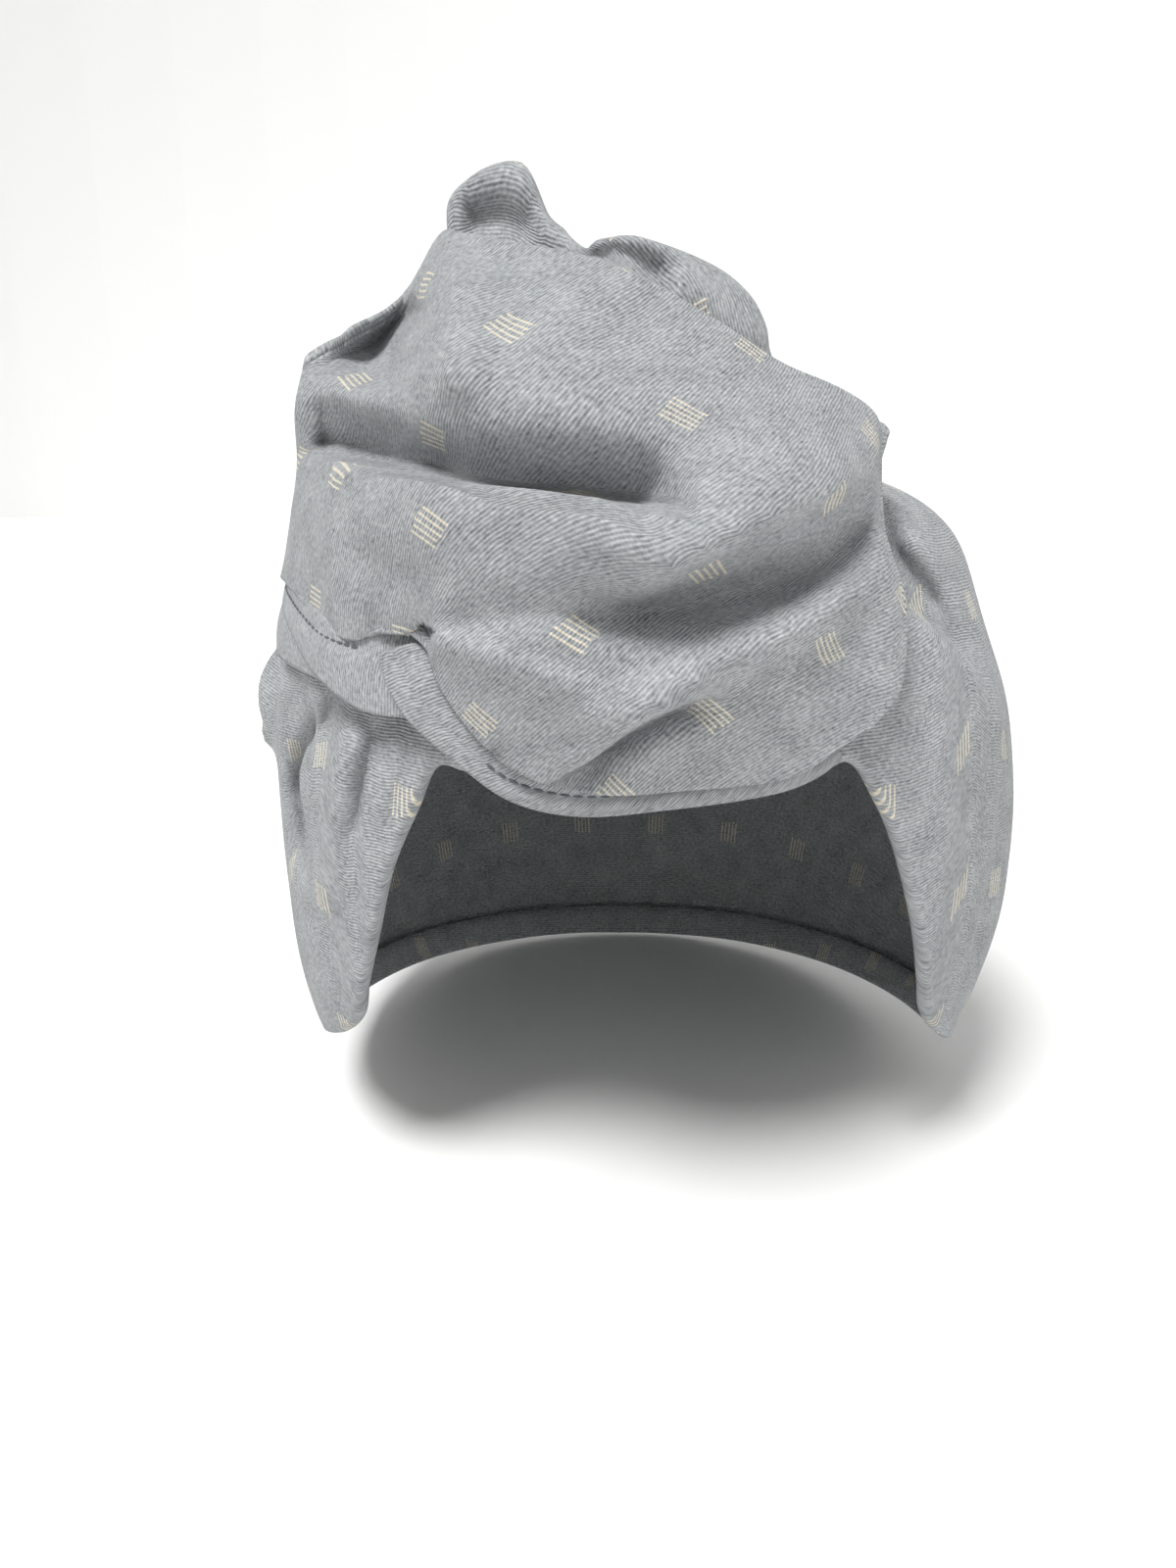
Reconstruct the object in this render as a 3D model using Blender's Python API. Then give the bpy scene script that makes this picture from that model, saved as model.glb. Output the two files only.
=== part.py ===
"""Turban headwrap: a fitted cloth cap with a draped front wrap, its hem, its knot and a standing back leaf.

Metres, +Z up. The origin is the top of the cap's hollow. The front faces -Y, and left is -X.
A place on the headwrap is given as a turn round the hollow, a rise above its middle and a lift off the cap.
"""
import math
from collections import namedtuple

import bpy
from mathutils import Vector

# The cap's outer face, from the middle of the hollow
HALF_BREADTH = 0.0885
FRONT_DEPTH = 0.088
BACK_DEPTH = 0.098
CROWN_RISE = 0.087
NAPE_DROP = 0.100
RIGHT_EAR_SWELL = 0.0055
LEFT_EAR_SWELL = -0.0035
PLAN_POWER = 2.1
SIDE_POWER = 2.5

# Cloth: one wall everywhere, the doubled hem, and the air between two layers
WALL = 0.0013
HEM_WALL = 0.0019
GAP = 0.0004

# The drape: how far the puff stands off the cap, how deep its folds and the cap's folds are
PUFF = 0.044
WRAP_FOLD = 0.006
CAP_FOLD = 0.004
LIP = 0.004
LIP_ROUNDING = 0.3
LIP_BACK = Vector((0.0, 0.002, 0.0))
FOLD_RADIUS = 0.0022
FOLD_ANGLES = (60, 120, 180)
FOLD_STEPS = 12
FADE_MARGIN = 0.04
FADE_STEEPNESS = 1.6

# Where the wrap stands clear of the cloth under it, in rows from the hem and in sections from the round fold
HEM_ROWS = 1.6
FOLD_SECTIONS = 1.2
FOLD_EASE = 2.0

# Facet lengths of the finished solids, and how much a slope of the rim adds to the cap's facets
CAP_FACET = 0.0112
WRAP_FACET = 0.0068
FOLD_FACET = 0.0050
LEAF_FACET = 0.0096
BAND_FACET = 0.0056
RIM_SLOPE = 0.6

MIDDLE = Vector((0.0, 0.0, WALL - CROWN_RISE))
SEAT = GAP + WALL / 2
LAYER = WALL + GAP
EAR_TURN = 90.0
EAR_RISE = -8.0
EAR_SPREAD = 32.0

CLOTH_COLOUR = (0.36, 0.38, 0.40, 1.0)
HEM_COLOUR = (0.38, 0.40, 0.42, 1.0)
CLOTH_ROUGHNESS = 0.9

# The cap's rim: turn and rise, from the back over the left side and the front to the back again
CAP_RIM = (
    (-180, -42), (-130, -41), (-100, -39), (-75, -35), (-56, -28), (-45, -22), (-41.5, -15.5),
    (-38, -7.5), (-34.5, 2.5), (-30.5, 10.5), (-27, 17), (-20, 16.5), (0, 15.5), (20, 16.5), (27, 17.5),
    (31.5, 11.5), (35, 5), (39, -5), (43.5, -16), (46.5, -21.5), (57, -28), (75, -35), (100, -39),
    (130, -41), (180, -42),
)

# A fold is a line of three places (turn, rise) on the cap. Its height is a share of the piece's fold size,
# above zero for a ridge and below zero for a valley. Its two widths are degrees below and above the line.
Fold = namedtuple("Fold", "start middle end height below above")

CAP_FOLDS = {
    "valley from the knot": Fold((-49, 21), (-60, 11), (-54, -6), -0.90, 4.0, 5.0),
    "side pleat": Fold((-76, 21), (-86, 14), (-84, 6), 1.40, 8.0, 8.0),
    "second valley": Fold((-102, 18), (-104, 6), (-98, -14), -0.60, 6.0, 6.0),
    "gather at the temple": Fold((-38, 20), (-44, 8), (-47, -10), 0.35, 3.0, 3.0),
    "right swell": Fold((40, 46), (66, 45), (92, 38), 1.00, 9.0, 9.0),
    "right crease": Fold((36, 38), (50, 32), (58, 24), -0.80, 3.0, 3.5),
    "right ridge": Fold((38, 30), (52, 24), (60, 12), 0.45, 5.0, 5.0),
    "right gather": Fold((62, 10), (60, -6), (56, -18), -0.35, 3.5, 3.5),
    "nape gather": Fold((-150, -20), (180, -26), (-210, -20), -0.45, 5.0, 5.0),
}

WRAP_FOLDS = {
    "tuck": Fold((-55, 47.0), (-22, 42.0), (8, 39.6), -2.00, 1.5, 6.0),
    "tuck lip": Fold((-52, 42.5), (-22, 38.4), (4, 36.8), 0.55, 3.6, 1.5),
    "upper ridge": Fold((38, 47.5), (14, 40.0), (-6, 31.5), 0.85, 2.6, 5.0),
    "long valley": Fold((31, 38.0), (12, 33.0), (-8, 29.3), -1.45, 2.6, 3.4),
    "lower ridge": Fold((30, 33.5), (10, 27.0), (-6, 20.5), 0.75, 1.8, 3.2),
    "hem crease": Fold((6, 22.8), (-3, 19.5), (-11, 15.2), -0.55, 1.8, 1.3),
    "wing crease": Fold((-66, 49.0), (-46, 47.5), (-27, 45.2), -0.45, 1.8, 2.4),
    "wing hollow": Fold((-40, 49.0), (-49, 57.0), (-60, 66.0), -2.10, 6.0, 5.0),
    "cone edge": Fold((-30, 47.0), (-36, 55.0), (-40, 62.0), 0.75, 3.0, 3.0),
    "chest dip": Fold((-9, 57.0), (0, 50.0), (9, 42.5), -0.55, 5.0, 6.0),
    "knot ray": Fold((-27, 28.6), (-19, 27.0), (-8, 24.0), 0.40, 2.2, 2.4),
}

LEAF_FOLDS = {
    "left spine": Fold((-56, 72.0), (-100, 66.0), (-128, 58.0), 0.45, 7.0, 7.0),
    "middle valley": Fold((150, 80.0), (174, 70.0), (178, 58.0), -0.60, 6.0, 6.0),
    "right spine": Fold((60, 66.0), (100, 64.0), (128, 58.0), 0.45, 7.0, 7.0),
}

# The front wrap from its tail behind the left side to the fold turned under at the right.
# Each point is turn, rise and lift, the lift as a share of PUFF. Layers counts the cloth under the hem, and
# turned says how much of the top edge's lip is turned in.
Section = namedtuple("Section", "layers turned hem lower belly waist chest top")

WRAP_SECTIONS = {
    "tail": Section(
        0.0, 0, (-152, 35, 0), (-152, 36.2, 0), (-151, 37.4, 0), (-151, 38.6, 0),
        (-150, 39.8, 0), (-150, 41, 0)),
    "turn": Section(
        2.0, 0, (-122, 33, 0), (-121, 35.5, 0.04), (-120, 38.5, 0.08), (-119, 42, 0.08),
        (-118, 46, 0.04), (-117, 49.5, 0)),
    "side": Section(
        2.5, 0, (-93, 31.8, 0.05), (-92, 35, 0.10), (-91, 40, 0.17), (-90, 45, 0.24),
        (-89, 51, 0.32), (-88, 57, 0.38)),
    "left": Section(
        2.6, 0, (-69, 33.8, 0.14), (-67, 37, 0.19), (-66, 41, 0.28), (-65, 45, 0.39),
        (-63, 49.8, 0.58), (-65, 54.5, 0.74)),
    "wing": Section(
        2.6, 0, (-42, 28.7, 0.13), (-41, 32.4, 0.25), (-41.5, 37.3, 0.36), (-47.5, 44.8, 0.46),
        (-53, 50.8, 0.64), (-63, 59.5, 0.83)),
    "hollow": Section(
        4.1, 0, (-33.3, 29, 0.16), (-31.5, 32.4, 0.29), (-31, 37, 0.44), (-35.5, 43.6, 0.48),
        (-42, 50.8, 0.60), (-62, 64.5, 0.82)),
    "cone": Section(
        4.6, 0.5, (-26.5, 28.5, 0.20), (-24.5, 31.6, 0.38), (-24, 35.3, 0.53), (-27.5, 42, 0.56),
        (-36.5, 52.5, 0.66), (-42, 63.8, 0.98)),
    "knot": Section(
        4.0, 1, (-23, 23.5, 0.17), (-20.3, 28.2, 0.38), (-19, 33.9, 0.58), (-21, 40.4, 0.61),
        (-25.5, 50, 0.76), (-33.5, 62.6, 0.99)),
    "brow": Section(
        2.4, 1, (-15.5, 17, 0.15), (-14, 24.2, 0.37), (-13.2, 31.6, 0.58), (-14.2, 39, 0.65),
        (-16.6, 48, 0.78), (-23, 61, 0.96)),
    "middle": Section(
        1.6, 1, (-6.5, 14.4, 0.13), (-6.1, 23.6, 0.36), (-5.9, 31, 0.57), (-6.2, 38.3, 0.67),
        (-6.8, 46.5, 0.79), (-9, 59.2, 0.92)),
    "fore": Section(
        1.6, 1, (4.2, 14.8, 0.12), (3.5, 23, 0.32), (3.1, 31, 0.51), (3.2, 38, 0.62),
        (3.8, 46, 0.69), (5.7, 57.2, 0.77)),
    "temple": Section(
        1.6, 1, (15.7, 15.5, 0.09), (15.4, 23.3, 0.21), (15.5, 31.5, 0.36), (16.2, 38.4, 0.48),
        (17.7, 45, 0.54), (21.5, 54.7, 0.58)),
    "corner": Section(
        1.6, 0.8, (22.0, 18.0, 0.12), (27, 24, 0.15), (29.4, 33, 0.19), (30, 41.2, 0.29),
        (32.6, 46.6, 0.38), (38, 52.5, 0.43)),
    "edge": Section(
        0.0, 0, (25.8, 19.8, 0.14), (31.0, 24.2, 0.13), (34.8, 32.6, 0.13), (36.0, 41.6, 0.18),
        (38.0, 47.6, 0.29), (44.5, 51.5, 0.32)),
    "under": Section(
        0.0, 0, (26.2, 23.5, 0), (27, 26.5, 0), (29, 33, 0), (29.5, 40, 0.04),
        (32.0, 46, 0.10), (37.5, 51.0, 0.14)),
}

# The back leaf follows the wrap's top edge: place counts the wrap's sections from its tail. The foot stands
# behind that edge; rim, shoulder, fall and tail are turn, rise and lift, the lift as a share of PUFF.
Leaf = namedtuple("Leaf", "place rim shoulder fall tail")

LEAF_SECTIONS = (
    Leaf(5.9, (-72, 73, 0.46), (-95, 67, 0.30), (-114, 60, 0.10), (-126, 51, 0)),
    Leaf(6.2, (-51, 68.6, 1.02), (-96, 69, 0.66), (-118, 61, 0.28), (-134, 49, 0)),
    Leaf(6.8, (-44, 70.0, 1.19), (-104, 74, 0.84), (-134, 65, 0.38), (-146, 47, 0)),
    Leaf(7.8, (-32, 71.8, 1.22), (-124, 79, 0.78), (-156, 67, 0.38), (-160, 46, 0)),
    Leaf(8.5, (-23, 70.0, 1.01), (-158, 81, 0.64), (-170, 67, 0.34), (-170, 46, 0)),
    Leaf(9.0, (-12, 65.4, 0.88), (-178, 80, 0.58), (-180, 66, 0.26), (-180, 46, 0)),
    Leaf(9.3, (-7, 67.4, 0.90), (172, 80, 0.60), (174, 66, 0.30), (172, 46, 0)),
    Leaf(10.2, (10, 68.2, 0.80), (144, 78, 0.56), (156, 65, 0.32), (156, 46, 0)),
    Leaf(10.8, (24, 66.4, 0.66), (122, 74, 0.42), (136, 62, 0.24), (142, 47, 0)),
    Leaf(11.3, (33, 60.5, 0.38), (90, 67, 0.24), (112, 58, 0.12), (126, 48, 0)),
    Leaf(12.0, (50, 54, 0.17), (68, 54, 0.09), (92, 52, 0.03), (112, 48, 0)),
)
LEAF_FOOT_BACK = 0.012
LEAF_FOOT_DOWN = 0.007

# A band lies round the cap. Each row is turn, the rises of its low and high edges and the layers under it.
HEM_BAND = (
    (-30.5, 31.0, 28.5, -27.0, 33.5, 2.9), (-32.0, 28.0, 27.5, -26.2, 30.8, 2.9),
    (-31.2, 24.5, 26.5, -25.0, 27.6, 2.9), (-27.8, 20.6, 24.0, -22.6, 24.4, 2.6),
    (-22.2, 17.0, 19.0, -18.4, 21.0, 1.6), (-15.6, 13.2, 14.8, -14.6, 18.2, 0.7),
    (-7.6, 11.9, 13.6, -7.4, 17.0, 0.1), (3.6, 12.9, 14.4, 3.4, 17.6, 0.1),
    (14.4, 14.0, 15.5, 13.8, 18.8, 0.1), (20.0, 15.4, 17.0, 18.8, 19.6, 0.1),
    (23.6, 17.3, 18.4, 21.8, 20.2, 0.1),
)
KNOT_BAND = (
    (-27.5, 21.0, 31.5, 1.5), (-33.0, 20.8, 32.5, 1.5), (-38.5, 21.8, 33.0, 1.5), (-46.0, 24.2, 33.5, 1.5),
    (-54.0, 27.2, 35.0, 1.5), (-63.0, 29.8, 36.5, 1.5), (-72.0, 31.6, 37.0, 1.5), (-80.0, 33.0, 37.0, 1.5),
)
SIDE_TUCK = (
    (-43.0, 23.2, 28.5, 0.4), (-50.0, 24.0, 31.0, 0.3), (-58.0, 24.4, 33.5, 0.4), (-66.0, 25.0, 34.5, 0.4),
    (-76.0, 26.8, 35.5, 0.4), (-90.0, 30.0, 36.5, 0.4), (-104.0, 33.5, 37.0, 0.4),
)


def direction(turn, rise):
    """Return the unit vector that a turn round the hollow and a rise above its middle point along."""
    around, up = math.radians(turn), math.radians(rise)
    return Vector((math.sin(around) * math.cos(up), -math.cos(around) * math.cos(up), math.sin(up)))


def bearing(point):
    """Return the turn, the rise and the distance of a point from the middle of the hollow."""
    offset = point - MIDDLE
    turn = math.degrees(math.atan2(offset.x, -offset.y))
    rise = math.degrees(math.atan2(offset.z, math.hypot(offset.x, offset.y)))
    return turn, rise, offset.length


def share_of(value):
    """Return a value held between nothing and the whole."""
    return max(0.0, min(1.0, value))


def degrees_apart(first, second):
    """Return the signed difference of two turns, the short way round."""
    return (first - second + 180.0) % 360.0 - 180.0


def between(points, place):
    """Return a point of the smooth curve through the points; place counts spans from the first point."""
    last = len(points) - 1
    span = min(int(place), last - 1)
    share = place - span
    before = points[span - 1] if span > 0 else points[0] * 2 - points[1]
    after = points[span + 2] if span + 2 <= last else points[last] * 2 - points[last - 1]
    start, end = points[span], points[span + 1]
    return 0.5 * (
        start * 2
        + (end - before) * share
        + (before * 2 - start * 5 + end * 4 - after) * share ** 2
        + (start * 3 - before - end * 3 + after) * share ** 3)


def fold_height(fold, turn, rise):
    """Return how much of a fold's height reaches a place, from 0 to 1."""
    middle_turn = fold.middle[0]
    line = [Vector((degrees_apart(spot[0], middle_turn), spot[1])) for spot in (fold.start, fold.middle, fold.end)]
    across = math.cos(math.radians(fold.middle[1]))
    place = Vector((degrees_apart(turn, middle_turn) * across, rise))
    curve = [between(line, 2.0 * step / FOLD_STEPS) for step in range(FOLD_STEPS + 1)]
    curve = [Vector((spot.x * across, spot.y)) for spot in curve]
    nearest = None
    for step in range(FOLD_STEPS):
        run = curve[step + 1] - curve[step]
        share = share_of((place - curve[step]).dot(run) / run.length_squared)
        off = place - (curve[step] + run * share)
        if nearest is None or off.length < nearest[0]:
            side = run.x * off.y - run.y * off.x
            nearest = (off.length, side * (1.0 if run.x >= 0 else -1.0), (step + share) / FOLD_STEPS)
    distance, side, along = nearest
    width = fold.above if side > 0 else fold.below
    inside = FADE_MARGIN + (1.0 - 2.0 * FADE_MARGIN) * along
    fade = min(1.0, math.sin(math.pi * inside) * FADE_STEEPNESS)
    return math.exp(-(distance / width) ** 2) * fade


def folded(folds, size, turn, rise):
    """Return the height of all the folds of a piece at a place."""
    return sum(fold.height * size * fold_height(fold, turn, rise) for fold in folds.values())


def cap_reach(turn, rise):
    """Return how far the cap's outer face is from the middle of the hollow, folds left out."""
    along = direction(turn, rise)
    depth = FRONT_DEPTH if along.y < 0 else BACK_DEPTH
    drop = CROWN_RISE if along.z > 0 else NAPE_DROP
    plan = (abs(along.x / HALF_BREADTH) ** PLAN_POWER + abs(along.y / depth) ** PLAN_POWER) ** (1 / PLAN_POWER)
    reach = (plan ** SIDE_POWER + abs(along.z / drop) ** SIDE_POWER) ** (-1 / SIDE_POWER)
    swell = RIGHT_EAR_SWELL if turn > 0 else LEFT_EAR_SWELL
    ear = math.hypot(abs(turn) - EAR_TURN, rise - EAR_RISE) / EAR_SPREAD
    return reach + swell * math.exp(-ear ** 2)


def cap_face(turn, rise):
    """Return how far the cap's outer face is from the middle of the hollow, with its folds."""
    return cap_reach(turn, rise) + folded(CAP_FOLDS, CAP_FOLD, turn, rise)


def on_cap(turn, rise, lift):
    """Return the point that stands off the cap's outer face by a lift."""
    return MIDDLE + direction(turn, rise) * (cap_face(turn, rise) + lift)


def in_steps(points, facet):
    """Return the places along a row of points where facets of about one length begin."""
    places = []
    for span in range(len(points) - 1):
        pieces = max(1, round(points[span] / facet))
        places += [span + piece / pieces for piece in range(pieces)]
    return places + [len(points) - 1]


def spans_between(rows):
    """Return the longest distance from each row of points to the next, and a closing zero."""
    lengths = []
    for row, following in zip(rows, rows[1:]):
        lengths.append(max((there - here).length for here, there in zip(row, following)))
    return lengths + [0.0]


def woven(rows, facet_along, facet_across):
    """Return a fine grid of points on the smooth surface through a few rows of points."""
    columns = [list(column) for column in zip(*rows)]
    along = in_steps(spans_between(rows), facet_along)
    across = in_steps(spans_between(columns), facet_across)
    grid = []
    for place in along:
        line = [between(column, place) for column in columns]
        grid.append([(place, spot, between(line, spot)) for spot in across])
    return grid


def cloth_material(name, colour):
    """Return a plain cloth material."""
    material = bpy.data.materials.new(name)
    material.use_nodes = True
    shader = material.node_tree.nodes["Principled BSDF"]
    shader.inputs["Base Color"].default_value = colour
    shader.inputs["Roughness"].default_value = CLOTH_ROUGHNESS
    shader.inputs["Metallic"].default_value = 0.0
    return material


def cloth_object(name, points, faces, wall, colour):
    """Make one closed cloth solid: a sheet of faces, thickened by half its wall to each side."""
    mesh = bpy.data.meshes.new(name)
    mesh.from_pydata(points, [], faces)
    mesh.validate()
    piece = bpy.data.objects.new(name, mesh)
    bpy.context.collection.objects.link(piece)
    piece.data.materials.append(cloth_material(name, colour))
    mesh.shade_smooth()
    thickness = piece.modifiers.new("wall", "SOLIDIFY")
    thickness.thickness = wall
    thickness.offset = 0.0
    thickness.use_even_offset = False
    thickness.use_quality_normals = True
    return piece


def grid_faces(rows, columns):
    """Return the four-sided faces of a grid whose points are listed row by row."""
    faces = []
    for row in range(rows - 1):
        for column in range(columns - 1):
            corner = row * columns + column
            faces.append((corner, corner + columns, corner + columns + 1, corner + 1))
    return faces


def sheet(name, grid, wall, colour):
    """Make a cloth solid from a grid of points."""
    points = [point for row in grid for point in row]
    return cloth_object(name, points, grid_faces(len(grid), len(grid[0])), wall, colour)


def make_cap():
    """Make the fitted cap: rings of faces from the crown down to the rim."""
    rim = [Vector(spot) for spot in CAP_RIM]
    turns = []
    for first, second in zip(rim, rim[1:]):
        width = math.radians(second.x - first.x) * HALF_BREADTH
        height = math.radians(second.y - first.y) * HALF_BREADTH * RIM_SLOPE
        pieces = max(1, round(math.hypot(width, height) / CAP_FACET))
        turns += [first.lerp(second, piece / pieces) for piece in range(pieces)]
    rings = round(math.radians(90 - rim[0].y) * CROWN_RISE / CAP_FACET)
    centre = direction(0, 90) * (cap_reach(0, 90) - WALL / 2)
    points = [MIDDLE + centre]
    for ring in range(1, rings + 1):
        for spot in turns:
            rise = 90 + (spot.y - 90) * ring / rings
            points.append(on_cap(spot.x, rise, -WALL / 2))
    count = len(turns)
    faces = [(0, 1 + (step + 1) % count, 1 + step) for step in range(count)]
    for ring in range(rings - 1):
        for step in range(count):
            here, there = 1 + ring * count + step, 1 + ring * count + (step + 1) % count
            faces.append((here, there, there + count, here + count))
    return cloth_object("cap", points, [face[::-1] for face in faces], WALL, CLOTH_COLOUR)


def wrap_rows():
    """Return the wrap's rows of points from hem to top edge, with the round fold at the right."""
    rows = []
    for section in WRAP_SECTIONS.values():
        rows.append([on_cap(turn, rise, share * PUFF) for turn, rise, share in section[2:]])
    return rows[:-1] + turned_under(rows[-3], rows[-2]) + rows[-1:]


def turned_under(before, edge):
    """Return the rows of the round fold that starts at an edge row and ends right below it."""
    rows = []
    for degrees in FOLD_ANGLES:
        angle = math.radians(degrees)
        row = []
        for inner, outer in zip(before, edge):
            up = (outer - MIDDLE).normalized()
            along = outer - inner
            along = (along - up * along.dot(up)).normalized()
            row.append(outer + (along * math.sin(angle) - up * (1 - math.cos(angle))) * FOLD_RADIUS)
        rows.append(row)
    return rows


def wrap_point(point, place, spot):
    """Return a point of the wrap with its folds, held clear of the cloth under it."""
    layers = [section.layers for section in WRAP_SECTIONS.values()]
    edge = len(layers) - 2
    turn, rise, reach = bearing(point)
    lift = reach - cap_face(turn, rise)
    if place > edge:
        return on_cap(turn, rise, max(lift, SEAT))
    before = min(int(place), edge - 1)
    layer = layers[before] + (layers[before + 1] - layers[before]) * (place - before)
    lift += folded(WRAP_FOLDS, WRAP_FOLD, turn, rise) * min(1.0, place, edge - place)
    cloth_below = layer * LAYER * share_of(HEM_ROWS - spot)
    turned_below = 2 * FOLD_RADIUS * share_of(FOLD_EASE * (place - edge + FOLD_SECTIONS))
    return on_cap(turn, rise, max(lift, SEAT + cloth_below, SEAT + turned_below))


def with_lip(line, place):
    """Return a line of the wrap's points with the lip that its top edge turns in."""
    shares = [section.turned for section in WRAP_SECTIONS.values()]
    before = min(int(place), len(shares) - 2)
    turned = shares[before] + (shares[before + 1] - shares[before]) * min(1.0, place - before)
    onward = (line[-1] - line[-2]).normalized() * LIP * (1.0 - turned)
    inward = (MIDDLE - line[-1]).normalized() * LIP * turned
    first = line[-1] + (onward + inward) * LIP_ROUNDING
    return line + [first, first + onward * LIP_ROUNDING + inward + LIP_BACK * turned]


def make_wrap():
    """Make the front wrap: one cloth from the tucked tail, over the knot and the front, up to the top edge."""
    grid = woven(wrap_rows(), WRAP_FACET, FOLD_FACET)
    lines = []
    for row in grid:
        line = [wrap_point(point, place, spot) for place, spot, point in row]
        lines.append(with_lip(line, row[0][0]))
    return sheet("front_wrap", lines, WALL, CLOTH_COLOUR)


def leaf_rows():
    """Return the back leaf's rows of points, from the foot behind the wrap's top edge to the tail."""
    tops = [row[-1] for row in wrap_rows()]
    rows = []
    for leaf in LEAF_SECTIONS:
        top = between(tops, leaf.place)
        foot = top + Vector((0.0, LEAF_FOOT_BACK, -LEAF_FOOT_DOWN))
        row = [foot] + [on_cap(turn, rise, share * PUFF) for turn, rise, share in leaf[1:]]
        rows.append(row)
    return rows


def leaf_point(point):
    """Return a point of the leaf with its folds, held clear of the cap."""
    turn, rise, reach = bearing(point)
    lift = reach - cap_face(turn, rise) + folded(LEAF_FOLDS, WRAP_FOLD, turn, rise)
    return on_cap(turn, rise, max(lift, SEAT))


def make_leaf():
    """Make the back leaf: the cloth that stands up behind the top edge and falls over the crown."""
    grid = woven(leaf_rows(), LEAF_FACET, LEAF_FACET)
    return sheet("back_leaf", [[leaf_point(point) for _, _, point in row] for row in grid], WALL, CLOTH_COLOUR)


def band_rows(table, wall):
    """Return a band's rows of points between its low and its high edge."""
    rows = []
    for turn, low, high, layer in table:
        lift = GAP + wall / 2 + layer * LAYER
        rows.append([on_cap(turn, low + (high - low) * share, lift) for share in (0.0, 0.5, 1.0)])
    return rows


def make_band(name, table):
    """Make a flat band that lies round the cap."""
    grid = woven(band_rows(table, WALL), BAND_FACET, BAND_FACET)
    return sheet(name, [[point for _, _, point in row] for row in grid], WALL, CLOTH_COLOUR)


def make_hem_band():
    """Make the doubled hem: along the front, and rolled up at the left to the knot."""
    rows = []
    for low_turn, low, middle, high_turn, high, layer in HEM_BAND:
        lift = GAP + HEM_WALL / 2 + layer * LAYER
        spots = ((low_turn, low), ((low_turn + high_turn) / 2, (low + high) / 2), (high_turn, high))
        rows.append([on_cap(turn, rise, lift) for turn, rise in spots])
    grid = woven(rows, BAND_FACET, BAND_FACET)
    return sheet("hem_band", [[point for _, _, point in row] for row in grid], HEM_WALL, HEM_COLOUR)


def clear_scene():
    """Remove what the scene holds."""
    for item in list(bpy.data.objects):
        bpy.data.objects.remove(item)


def main():
    """Make every piece of the headwrap."""
    clear_scene()
    make_cap()
    make_wrap()
    make_leaf()
    make_hem_band()
    make_band("knot_band", KNOT_BAND)
    make_band("side_tuck", SIDE_TUCK)


main()
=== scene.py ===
"""Looks of a pull-on turban headwrap: ribbed blue-grey cotton, draped and tucked round its solids.

Metres, +Z up, the front faces -Y. A place on the headwrap is a turn round its hollow and a rise above the
hollow's middle, both in degrees, and a lift off the cap's outer face in metres. Arrays of places are worked out
together.
"""

import logging
import math
from collections.abc import Callable
from dataclasses import dataclass, field
from enum import Enum

import bpy
import numpy as np
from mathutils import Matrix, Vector, noise

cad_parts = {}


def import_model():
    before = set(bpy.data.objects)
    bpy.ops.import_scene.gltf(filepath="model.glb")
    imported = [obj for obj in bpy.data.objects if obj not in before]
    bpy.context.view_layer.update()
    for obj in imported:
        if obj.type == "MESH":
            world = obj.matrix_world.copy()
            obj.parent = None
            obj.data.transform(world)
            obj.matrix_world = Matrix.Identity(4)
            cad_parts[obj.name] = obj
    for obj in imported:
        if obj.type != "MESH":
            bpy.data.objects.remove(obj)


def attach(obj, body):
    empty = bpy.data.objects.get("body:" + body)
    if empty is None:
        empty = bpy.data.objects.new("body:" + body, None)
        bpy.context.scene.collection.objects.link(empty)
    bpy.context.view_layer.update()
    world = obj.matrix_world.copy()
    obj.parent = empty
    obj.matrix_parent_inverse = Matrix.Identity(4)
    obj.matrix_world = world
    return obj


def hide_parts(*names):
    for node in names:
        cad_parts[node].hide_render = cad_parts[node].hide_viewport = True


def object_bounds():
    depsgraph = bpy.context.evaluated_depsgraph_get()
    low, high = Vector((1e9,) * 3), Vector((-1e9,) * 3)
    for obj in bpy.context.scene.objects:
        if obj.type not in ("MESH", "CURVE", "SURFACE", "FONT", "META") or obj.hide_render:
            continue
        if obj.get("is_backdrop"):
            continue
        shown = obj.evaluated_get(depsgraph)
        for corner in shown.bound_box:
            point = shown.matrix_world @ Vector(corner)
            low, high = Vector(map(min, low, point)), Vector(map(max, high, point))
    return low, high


LOG = logging.getLogger("headwrap")
MM = 0.001
# The least length that anything is divided by, and how near points are that count as one, in metres
TINY = 1e-12
WELD = 1e-6


class Held(Enum):
    """How a sheet of cloth is held."""

    FOLDED = "folded"
    STRETCHED = "stretched"


@dataclass(frozen=True)
class Fold:
    """A line of places that stands up as a ridge or sinks in as a valley.

    The height is in millimetres, the widths in degrees below and above the line. The power squares off the
    crest, and the fade sets how soon the fold grows to its full height from its ends.
    """

    line: tuple[tuple[float, float], ...]
    height: float
    below: float
    above: float
    power: float = 2.0
    fade: float = 1.6


@dataclass(frozen=True)
class Crease:
    """A ridge or valley drawn along its line in the photograph's picture.

    The places and the widths are in pixels of a picture 1200 wide, the height and the slide in millimetres.
    Lines run from left to right or from top to bottom, and above stands for right of a line that runs down.
    The slide moves the cloth across the line, so that a roll hangs over its own valley.
    """

    line: tuple[tuple[float, float], ...]
    height: float
    above: float
    below: float
    slide: float = 0.0
    power: float = 2.0
    fade: float = 1.6


@dataclass(frozen=True)
class Section:
    """One line of the front wrap, from its hem to its top edge.

    A point is turn, rise and share of the puff. The layers are those of cloth under it, and turned is the share
    of the small turn that its top edge makes.
    """

    layers: float
    turned: float
    points: tuple[tuple[float, float, float], ...]


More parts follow.
